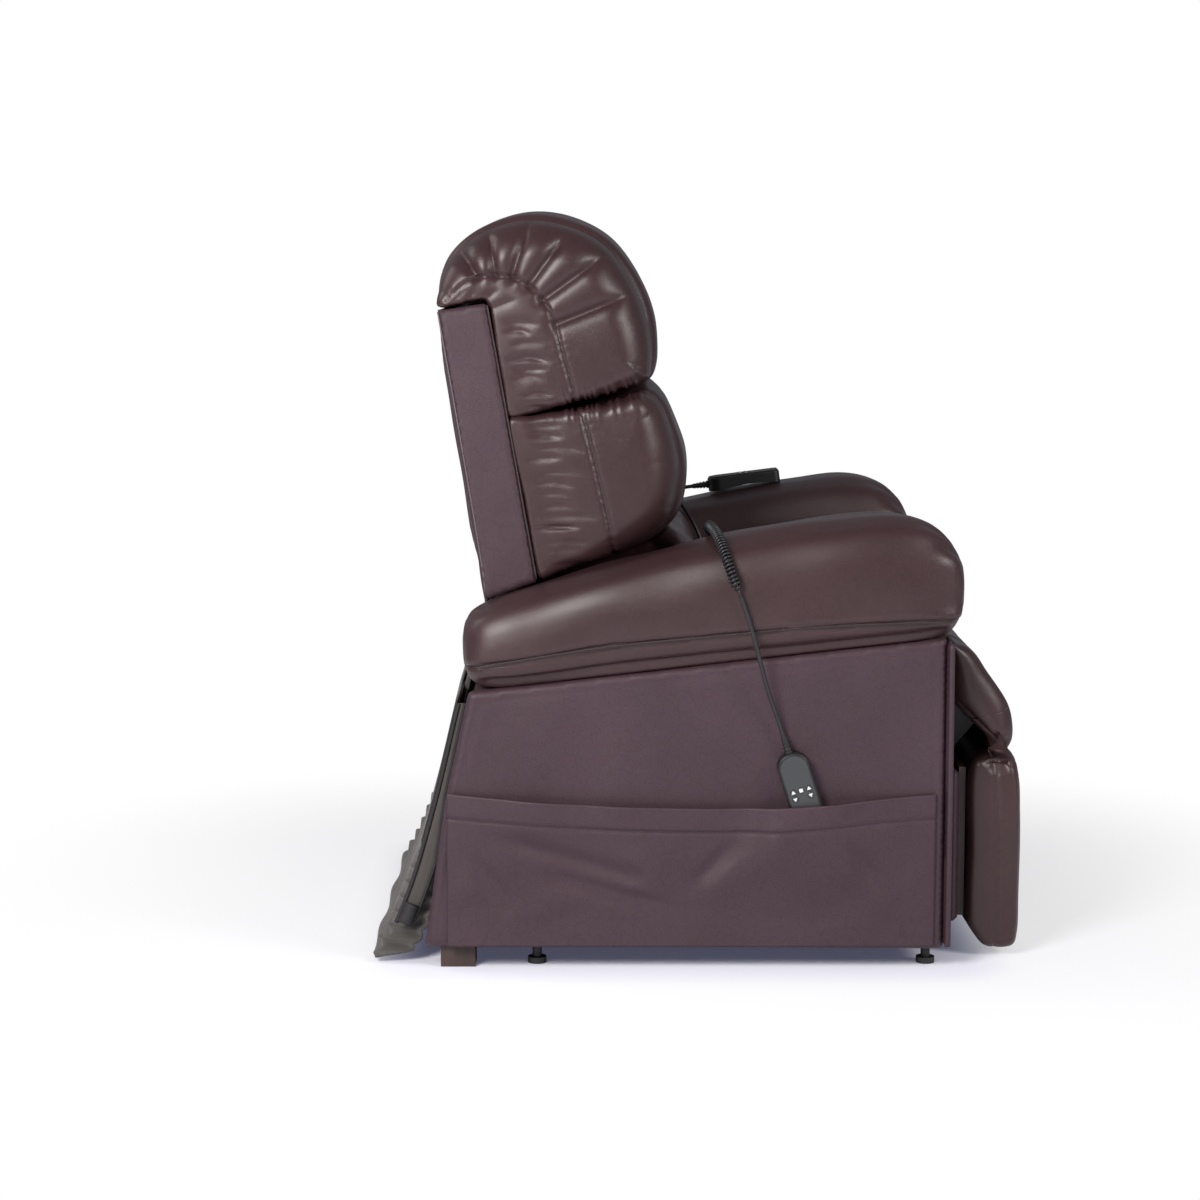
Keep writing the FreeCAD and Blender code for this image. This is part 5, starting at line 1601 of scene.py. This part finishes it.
    def make_trim(self) -> None:
        """Rolled border down each front edge, and piping along the pads' lower seams."""
        lines = []
        for outer in (self.panel_outer, self.box_inner):
            border = spline([(-outer, y, z) for y, z in self.BORDER], 60)
            lines += [(line, self.border_radius) for line in both_sides(border)]
        dress(tubes("front_borders", lines), PANEL_LEATHER, "chair")
        seam = spline(self.SEAM[1:-1], 160)
        welt = np.column_stack([np.full(len(seam), -self.welt_place), seam])
        # The welts' dark colour is painted shade along the pads' lower seams.
        piping("pad_welts", welt, 0.0014, SHADED_PIPING, "chair")


@dataclass
class Pocket:
    """Leather pocket on the right side panel, its mouth held open by the hand control."""

    rear: float = 0.376
    front: float = -0.35
    face: float = 0.4303
    cloth: float = 0.0028
    bottom: float = 0.036

    MOUTH = [(.376, .269), (.3641, .268), (.2072, .2562), (.0295, .249), (-.089, .25), (-.2369, .26),
             (-.35, .268)]
    GAPS = [(.376, .001), (.316, .0085), (.16, .0135), (.0, .0125), (-.075, .014), (-.112, .0262),
            (-.2, .0262), (-.255, .012), (-.305, .0045), (-.35, .001)]
    WRINKLES = [((.3084, .2053), (.0766, .1387)), ((.2372, .1508), (.0288, .0839)),
                ((-.06, .205), (.02, .12)), ((-.215, .2), (-.29, .11)), ((.345, .18), (.28, .09))]

    def build(self) -> None:
        """Make the pocket's cloth and its stitched hem."""
        columns, rows = 200, 70
        y, up = np.meshgrid(np.linspace(self.rear, self.front, columns), np.linspace(0, 1, rows))
        mouth_line, gap_line = spline(self.MOUTH, 200), spline(self.GAPS, 300)
        mouth = np.interp(-y, -mouth_line[:, 0], mouth_line[:, 1])
        gap = np.interp(-y, -gap_line[:, 0], gap_line[:, 1])
        z = self.bottom + (mouth - self.bottom) * up
        opened = gap * ease(up, 0.05, 0.92) ** 1.15
        flat = np.stack([y, z], axis=-1).reshape(-1, 2)
        grooves = [Groove(line, depth=0.0066, width=0.013, taper=0.06) for line in self.WRINKLES]
        wrinkles = sum(groove.height(flat) for groove in grooves)
        uneven = (0.002 * crumple(flat, 0.11, 91) + wrinkles).reshape(z.shape)
        edge = np.minimum(ease(up, 0.0, 0.15), ease(np.minimum(self.rear - y, y - self.front), 0.0, 0.03))
        hem = 0.0016 * ease(z - mouth + 0.036, 0, 0.003) - 0.0022 * bell(z - mouth, -0.037, 0.0022)
        back = self.face + 0.0006 + np.maximum(opened + np.minimum(uneven, opened) * edge, 0)
        seam = np.maximum(hem, -0.0018) * ease(up, 0.3, 0.6)
        front = back + self.cloth + seam + 0.9 * np.maximum(uneven, 0) * edge
        pocket = shell("pocket_cloth", np.stack([-front, y, z], axis=-1), np.stack([-back, y, z], axis=-1))
        dress(pocket, PANEL_LEATHER, "chair", ["side_pocket"])
        row = int(np.argmin(abs(up[:, 0] - 0.84)))
        self.make_stitches(np.stack([-front[row], y[row], z[row]], axis=-1))

    @staticmethod
    def make_stitches(line: Array) -> None:
        """Sew a row of stitches under the hem.

        Args:
            line: where they lie.
        """
        line = resample(line, 2 * 170)
        runs = [(line[index:index + 2] + (-0.0002, 0, 0), 0.0005) for index in range(0, len(line) - 1, 2)]
        dress(tubes("hem_stitches", runs, 6), STITCH, "chair")


# Seat and legrest
@dataclass
class Seat:
    """Seat cushion with a rolled front edge."""

    half: float = 0.264
    seam: float = -0.262
    link_inner: float = 0.232
    notch_top: float = 0.4765
    notch_rear: float = -0.266
    crown: float = 0.004
    crown_half: float = 0.25

    OUTLINE = [(.2, .4585), (.2035, .476), (.195, .494), (.145, .5025), (.04, .5085), (-.066, .5095),
               (-.16, .5085), (-.246, .505), (-.291, .4985), (-.322, .486), (-.3355, .464), (-.332, .442),
               (-.322, .4325), (-.306, .4305), (-.288, .4385), (-.272, .4545), (-.24, .4575), (-.066, .4555),
               (.1, .4565)]

    def build(self) -> None:
        """Make the cushion."""
        body = Padded("seat_pad", self.OUTLINE, -self.half, self.half, 0.026, drawn=0.006,
                      spacing=0.006).build()
        swell(body, 0.004, 0.012)
        push(body, self.detail)
        reshape(body, lambda places, normals: self.notched(places))
        dress(body, LEATHER, "chair", ["seat_cushion"])

    def detail(self, places: Array) -> Array:
        """Crown, a seam along the front roll and soft unevenness.

        Args:
            places: points on the cushion.

        Returns:
            The height at each point.
        """
        x, y, z = places.T
        top = ease(z, 0.485, 0.5)
        crown = self.crown * np.maximum(1 - (x / self.crown_half) ** 2, 0)
        groove = Groove([(self.seam, .52), (self.seam, .49)], depth=0.0045, width=0.006).height(places[:, 1:])
        folds = 0.0016 * np.cos(x * 150 + 2 * np.sin(x * 31))
        soft = 0.0015 * top * crumple(places, 0.12, 101)
        return top * (crown + groove + folds * bell(y, self.seam, 0.03)) + soft

    def notched(self, places: Array) -> Array:
        """Lift the front roll clear of the legrest's links at both sides.

        Args:
            places: points on the cushion.

        Returns:
            The moved points.
        """
        x, y, z = places.T
        beside_links = ease(abs(x), self.link_inner - 0.004, self.link_inner)
        ahead = ease(-y, -self.notch_rear - 0.006, -self.notch_rear)
        places[:, 2] += (np.maximum(z, self.notch_top) - z) * beside_links * ahead
        return places


def gathers(x: Array) -> Array:
    """Uneven waves across the legrest, from -1.5 to 0.5."""
    return np.cos(2 * math.pi * x / 0.031 + 1.7 * np.sin(x * 23)) - 0.5


@dataclass
class Legrest:
    """Bridge from the seat over the knee, the main pad and the thin pad behind it."""

    half: float = 0.354
    arm_inner: float = 0.266
    edge: float = 0.024
    gather_depth: float = 0.0024
    board_front: float = -0.4082
    thin_half: float = 0.346
    thin_foot: float = 0.053
    thin_head: float = 0.286
    thin_front: float = -0.397
    thin_rear: float = -0.3812
    notch_foot: float = 0.205
    NOTCH = (.257, .216)
    BRIDGES = (("bridge_upper", 0.0, 0.66, 70, "chair", "legrest_link", (0, -.345, .47), (0, -.452, .425)),
               ("bridge_lower", 0.66, 1.0, 44, "legrest_link", "ottoman", (0, -.452, .385), (0, -.456, .33)))

    FRONT = [(-.386, .484), (-.412, .47), (-.44, .434), (-.466, .394), (-.476, .358), (-.4745, .334),
             (-.465, .315)]
    TONGUE = [(-.3365, .47), (-.358, .4815)]
    UNDER = [(-.337, .4625), (-.352, .461), (-.376, .457), (-.402, .445), (-.424, .425), (-.446, .391),
             (-.453, .358), (-.454, .336), (-.45, .315)]
    END = [(-.3815, .474), (-.3825, .44), (-.384, .412), (-.388, .391), (-.402, .374), (-.424, .352),
           (-.439, .335), (-.4445, .315)]
    WELT = [(-.378, .404), (-.391, .3925), (-.406, .378), (-.428, .356), (-.4435, .338), (-.452, .32)]
    KNEE = [((-.45, .316), (-.43, .348)), ((-.452, .3165), (-.447, .356)),
            ((-.456, .3165), (-.464, .352)), ((-.459, .317), (-.474, .34))]
    BELOW_KNEE = [((-.447, .311), (-.428, .296)), ((-.45, .311), (-.442, .282)),
                  ((-.454, .311), (-.457, .276)), ((-.458, .311), (-.47, .28)),
                  ((-.462, .311), (-.484, .29))]
    MAIN = [(-.409, .056), (-.4088, .17), (-.409, .286), (-.416, .303), (-.433, .3125), (-.462, .313),
            (-.4815, .305), (-.49, .28), (-.4918, .225), (-.4924, .166), (-.4918, .098), (-.4895, .036),
            (-.4835, .0165), (-.466, .0115), (-.444, .012), (-.433, .0175), (-.418, .037)]
    SIDE_SEAM = [(-.448, .307), (-.4501, .2926), (-.453, .17), (-.4545, .0454), (-.454, .016)]

    def build(self) -> None:
        """Make the legrest's soft pieces."""
        for bridge in self.BRIDGES:
            self.make_bridge(*bridge)
        self.make_main()
        self.make_thin()

    def make_bridge(self, name: str, start: float, end: float, rows: int, first: str, second: str,
                    near: Point, far: Point) -> None:
        """Make one of the bridge's two lengths.

        Args:
            name: the piece's name.
            start: the share of the bridge at which it starts.
            end: the share at which it ends.
            rows: rows of its grid.
            first: the body at its start. It is not used.
            second: the body at its end. It is not used.
            near: where the bend starts. It is not used.
            far: where the bend ends. It is not used.
        """
        share = np.linspace(start, end, rows)
        turn = np.linspace(0.1, 0.492 * math.pi, 18)
        side = np.concatenate([np.linspace(.272, self.half - self.edge, 12),
                               self.half - self.edge + self.edge * np.sin(turn)])
        columns = np.concatenate([-side[::-1], np.linspace(-self.arm_inner, self.arm_inner, 110), side])
        keep = np.ones(len(columns))
        keep[:len(turn)], keep[-len(turn):] = np.cos(turn)[::-1], np.cos(turn)

        def along(points: Sequence[Point]) -> Array:
            """This length's share of a line."""
            line = spline(points, 400)
            return np.column_stack([np.interp(share * 399, np.arange(400), line[:, axis]) for axis in (0, 1)])

        middle_out = along(self.TONGUE + self.FRONT)
        deep = (abs(columns) > self.arm_inner + 0.002)[None, :, None]
        outer = np.where(deep, along(self.FRONT)[:, None], middle_out[:, None])
        inner = np.where(deep, along(self.END)[:, None], along(self.UNDER)[:, None])
        heart = inner * 0.5 + outer * 0.5
        keep = keep[None, :, None]
        over_brackets = ease(abs(columns), 0.2, 0.21) * ease(-abs(columns), -0.268, -0.264)
        thin = 1 - 0.75 * over_brackets[None, :, None]
        outer, inner = heart + (outer - heart) * keep, heart + (inner - heart) * keep * thin
        outer = outer + self.bridge_folds(columns, share, middle_out)
        x = np.broadcast_to(columns, (rows, len(columns)))[..., None]
        piece = shell(name, np.concatenate([x, outer], axis=-1), np.concatenate([x, inner], axis=-1))
        push(piece, lambda places: self.knee_folds(places, self.KNEE) + self.welt(places))
        dress(piece, LEATHER, None, ["bridge_pad"])
        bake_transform(piece)

    def welt(self, places: Array) -> Array:
        """Seam along the lower edge of both outer ends."""
        ends = ease(abs(places[:, 0]), self.half - 0.016, self.half - 0.004)
        return ends * Groove(self.WELT, depth=0.0045, width=0.003).height(places[:, 1:])

    def knee_folds(self, places: Array, lines: Sequence[Sequence[Point]]) -> Array:
        """Creases that run to the knee on the outer ends.

        Args:
            places: points on a pad.
            lines: the creases' lines.

        Returns:
            The height at each point.
        """
        ends = ease(abs(places[:, 0]), self.half - 0.022, self.half - 0.006)
        folds = [Groove(line, depth=0.0075, width=0.005, fade=0.6, crease=True) for line in lines]
        return ends * sum(fold.height(places[:, 1:]) for fold in folds)

    def bridge_folds(self, columns: Array, share: Array, line: Array) -> Array:
        """Gathers that run down to the knee.

        Args:
            columns: places across the bridge.
            share: places along it, from 0 to 1.
            line: its middle's side view.

        Returns:
            A move in the side view for each row and column.
        """
        heading = headings(line)
        out = np.column_stack([heading[:, 1], -heading[:, 0]])
        seam = -0.004 * bell(abs(columns), self.arm_inner, 0.006)
        flat = np.stack(np.meshgrid(columns, share * 0.28), axis=-1).reshape(-1, 2)
        soft = 0.0012 * crumple(flat, 0.09, 111).reshape(len(share), len(columns))
        folds = self.gather_depth * ease(share, 0.55, 1.0)[:, None] * gathers(columns)[None, :]
        return out[:, None, :] * (folds + seam[None, :] + soft)[..., None]

    def make_main(self) -> None:
        """Main pad with a seam down each side and gathers along its top."""
        body = Padded("legrest_cushion", self.MAIN, -self.half, self.half, 0.013, drawn=0.002,
                      spacing=0.0042).build()
        push(body, self.main_detail)
        reshape(body, lambda places, normals: self.keep_off_board(places))
        dress(body, LEATHER, "ottoman", ["ottoman_pad"])

    def keep_off_board(self, places: Array) -> Array:
        """Keep the pad's rear face ahead of its board."""
        places[:, 1] = np.minimum(places[:, 1], self.board_front)
        return places

    def main_detail(self, places: Array) -> Array:
        """Seams, gathers under the knee and soft unevenness.

        Args:
            places: points on the main pad.

        Returns:
            The height at each point.
        """
        x, y, z = places.T
        ends = ease(abs(x), self.half - 0.045, self.half - 0.02)
        seam = Groove(self.SIDE_SEAM, depth=0.004, width=0.003, pucker=0.1, pitch=0.014)
        total = ends * seam.height(places[:, 1:])
        front = ease(-y, 0.44, 0.47)
        total += self.gather_depth * front * ease(z, 0.24, 0.31) * gathers(x)
        total += self.knee_folds(places, self.BELOW_KNEE)
        return total + 0.002 * front * crumple(places, 0.15, 121)

    def make_thin(self) -> None:
        """Thin pad behind the board, notched for the brackets."""
        half, low, high, notch = self.thin_half, self.thin_foot, self.thin_head, self.notch_foot
        outer, inner = self.NOTCH
        outline = [(half, low), (half, high), (outer, high), (outer, notch), (inner, notch), (inner, high)]
        outline = [(-half, low)] + outline + [(-x, z) for x, z in outline[:0:-1]]
        body = Padded("legrest_rear_pad", outline, self.thin_front, self.thin_rear, 0.0065, Across.Y,
                      smooth=False, spacing=0.006, station=0.003, corner=0.008).build()
        push(body, lambda places: 0.0008 * ease(places[:, 1], -0.39, -0.383) * crumple(places, 0.09, 131))
        dress(body, PANEL_LEATHER, "ottoman", ["lower_pad"])


# Hand controls
@dataclass(frozen=True)
class Face:
    """Where a hand control's face lies: its near end, the way along it and the way out of it."""

    origin: Array
    along: Array
    out: Array

    def spot(self, flat: Array, height: float) -> Array:
        """Points on the control from places across and along it."""
        across = np.cross(self.along, self.out)
        return self.origin + flat[:, :1] * across + flat[:, 1:] * self.along + self.out * height


@dataclass
class Controls:
    """Rims, faces and symbols of both hand controls."""

    width: float = 0.048
    length: float = 0.125
    corner: float = 0.009
    face_height: float = 0.012
    button_top: float = 0.0138
    symbol: float = 0.0036
    across_step: float = 0.012
    along_middle: float = 0.062
    pitch: float = 0.0105
    hole: float = 0.0048
    near_tilt: float = 18.0
    far_rise: float = 7.2
    SHAPES = {"up": [(-1, .6), (1, .6), (0, -1)], "down": [(-1, -.6), (1, -.6), (0, 1)],
              "square": [(-.8, -.8), (.8, -.8), (.8, .8), (-.8, .8)]}

    def faces(self) -> dict[str, Face]:
        """Find where both controls' faces lie.

        Returns:
            The face of each side.
        """
        tilt, rise = math.radians(self.near_tilt), math.radians(self.far_rise)
        near_along = np.array((0, -math.sin(tilt), -math.cos(tilt)))
        far_along = np.array((0, -math.cos(rise), math.sin(rise)))
        far_out = np.array((0, math.sin(rise), math.cos(rise)))
        return {"right": Face(np.array((-.4426, -.131, .3316)), near_along, np.array((-1.0, 0, 0))),
                "left": Face(np.array((.365, -.0414, .66368)), far_along, far_out)}

    def build(self) -> None:
        """Add the details to both controls."""
        for word, place in self.faces().items():
            self.make_face(word, place)
            rim = [(place.spot(self.outline(0.003), self.face_height - 0.0002), 0.0014)]
            dress(tubes(f"{word}_control_rim", rim), CASE_PLASTIC, "chair")
            for name, spot, shape in self.keys():
                self.make_symbol(f"{word}_symbol_{name}", f"{word}_button_{name}_key", place, spot, shape)

    def make_face(self, word: str, place: Face) -> None:
        """Make the grey face plate inside the rim, with a hole round each button.

        Args:
            word: the control's side.
            place: where its face lies.
        """
        turn = np.linspace(0, 2 * math.pi, 29)[:-1]
        circle = self.hole * np.column_stack([np.cos(turn), np.sin(turn)])
        middles = np.array([spot for _, spot, _ in self.keys()])
        loops = [self.outline(0.0034)[:-1]] + [middle + circle for middle in middles]
        edges, start = [], 0
        for loop in loops:
            edges += loop_edges(len(loop), start)
            start += len(loop)
        found = delaunay_2d_cdt([Vector(point) for point in np.vstack(loops).tolist()], edges, [], 1, SNAP)
        flat = np.array([tuple(point) for point in found[0]])
        faces = [face for face in found[2]
                 if np.linalg.norm(flat[face].mean(axis=0) - middles, axis=1).min() > 0.98 * self.hole]
        plate = new_piece(f"{word}_control_face", place.spot(flat, self.face_height + 0.0003), faces, False)
        baked(plate, "SOLIDIFY", thickness=0.0004, offset=0.0)
        plate.data.shade_flat()
        dress(plate, FACE_PLASTIC, "chair")

    def outline(self, inset: float) -> Array:
        """The face's edge, moved inwards.

        Args:
            inset: how far it is moved.

        Returns:
            Its points, from across and along.
        """
        half, end = self.width / 2 - inset, self.width / 2 - 0.002
        turn = np.linspace(math.pi, 2 * math.pi, 40)
        near = np.column_stack([half * np.cos(turn), end + (end - inset) * np.sin(turn)])
        middle = (half - self.corner, self.length - inset - self.corner)
        right = [(middle[0] + self.corner * math.cos(angle), middle[1] + self.corner * math.sin(angle))
                 for angle in np.linspace(0, math.pi / 2, 8)]
        left = [(-x, y) for x, y in reversed(right)]
        return resample(np.vstack([near, right, left, near[:1]]), 150)

    def keys(self) -> list[tuple[str, Point, str]]:
        """List the buttons.

        Returns:
            Name, place across and along, and symbol of each.
        """
        low, high = self.along_middle - self.pitch / 2, self.along_middle + self.pitch / 2
        found = [(f"{side}_{row}", (sign * self.across_step, along), row)
                 for side, sign in (("left", -1), ("right", 1))
                 for row, along in (("up", low), ("down", high))]
        return found + [("middle", (0.0, low), "square")]

    def make_symbol(self, name: str, body: str, place: Face, spot: Point, shape: str) -> None:
        """Make a raised white symbol on one button.

        Args:
            name: the piece's name.
            body: the button's body.
            place: where the control's face lies.
            spot: the button's place across and along it.
            shape: which symbol it is.
        """
        corners = np.array(self.SHAPES[shape], float) * self.symbol
        low = place.spot(corners + spot, self.button_top - 0.0003)
        high = place.spot(corners * 0.9 + spot, self.button_top + 0.00035)
        count = len(corners)
        faces = [tuple(range(count)), tuple(range(count, 2 * count))]
        faces += [(first, second, count + second, count + first) for first, second in loop_edges(count)]
        dress(new_piece(name, np.vstack([low, high]), faces, False), SYMBOL_INK, body)


# Structure that is carried over from the model
@dataclass
class Structure:
    """Finishes of the model's own parts."""

    def build(self) -> None:
        """Dress every part that is still shown."""
        slots = {row["node"]: row["material_slot"] for row in frame["record"]["subparts"]}
        for name, node in frame["nodes"].items():
            if node.hide_render:
                continue
            finish = SLOT_FINISHES[slots[name]]
            node.data.materials.clear()
            node.data.materials.append(finish.material())
            log.info("%s keeps the model's shape", name)


def main() -> None:
    """Build the studio and the chair in order."""
    logging.basicConfig(level=logging.INFO, format="%(message)s")
    Studio().build()
    Cords().build()
    for assembly in (Back(), Skirt(), Arms(), Pocket(), Seat(), Legrest(), Controls(), Structure()):
        assembly.build()
        log.info("%s done", type(assembly).__name__)


if __name__ == "__main__":
    main()
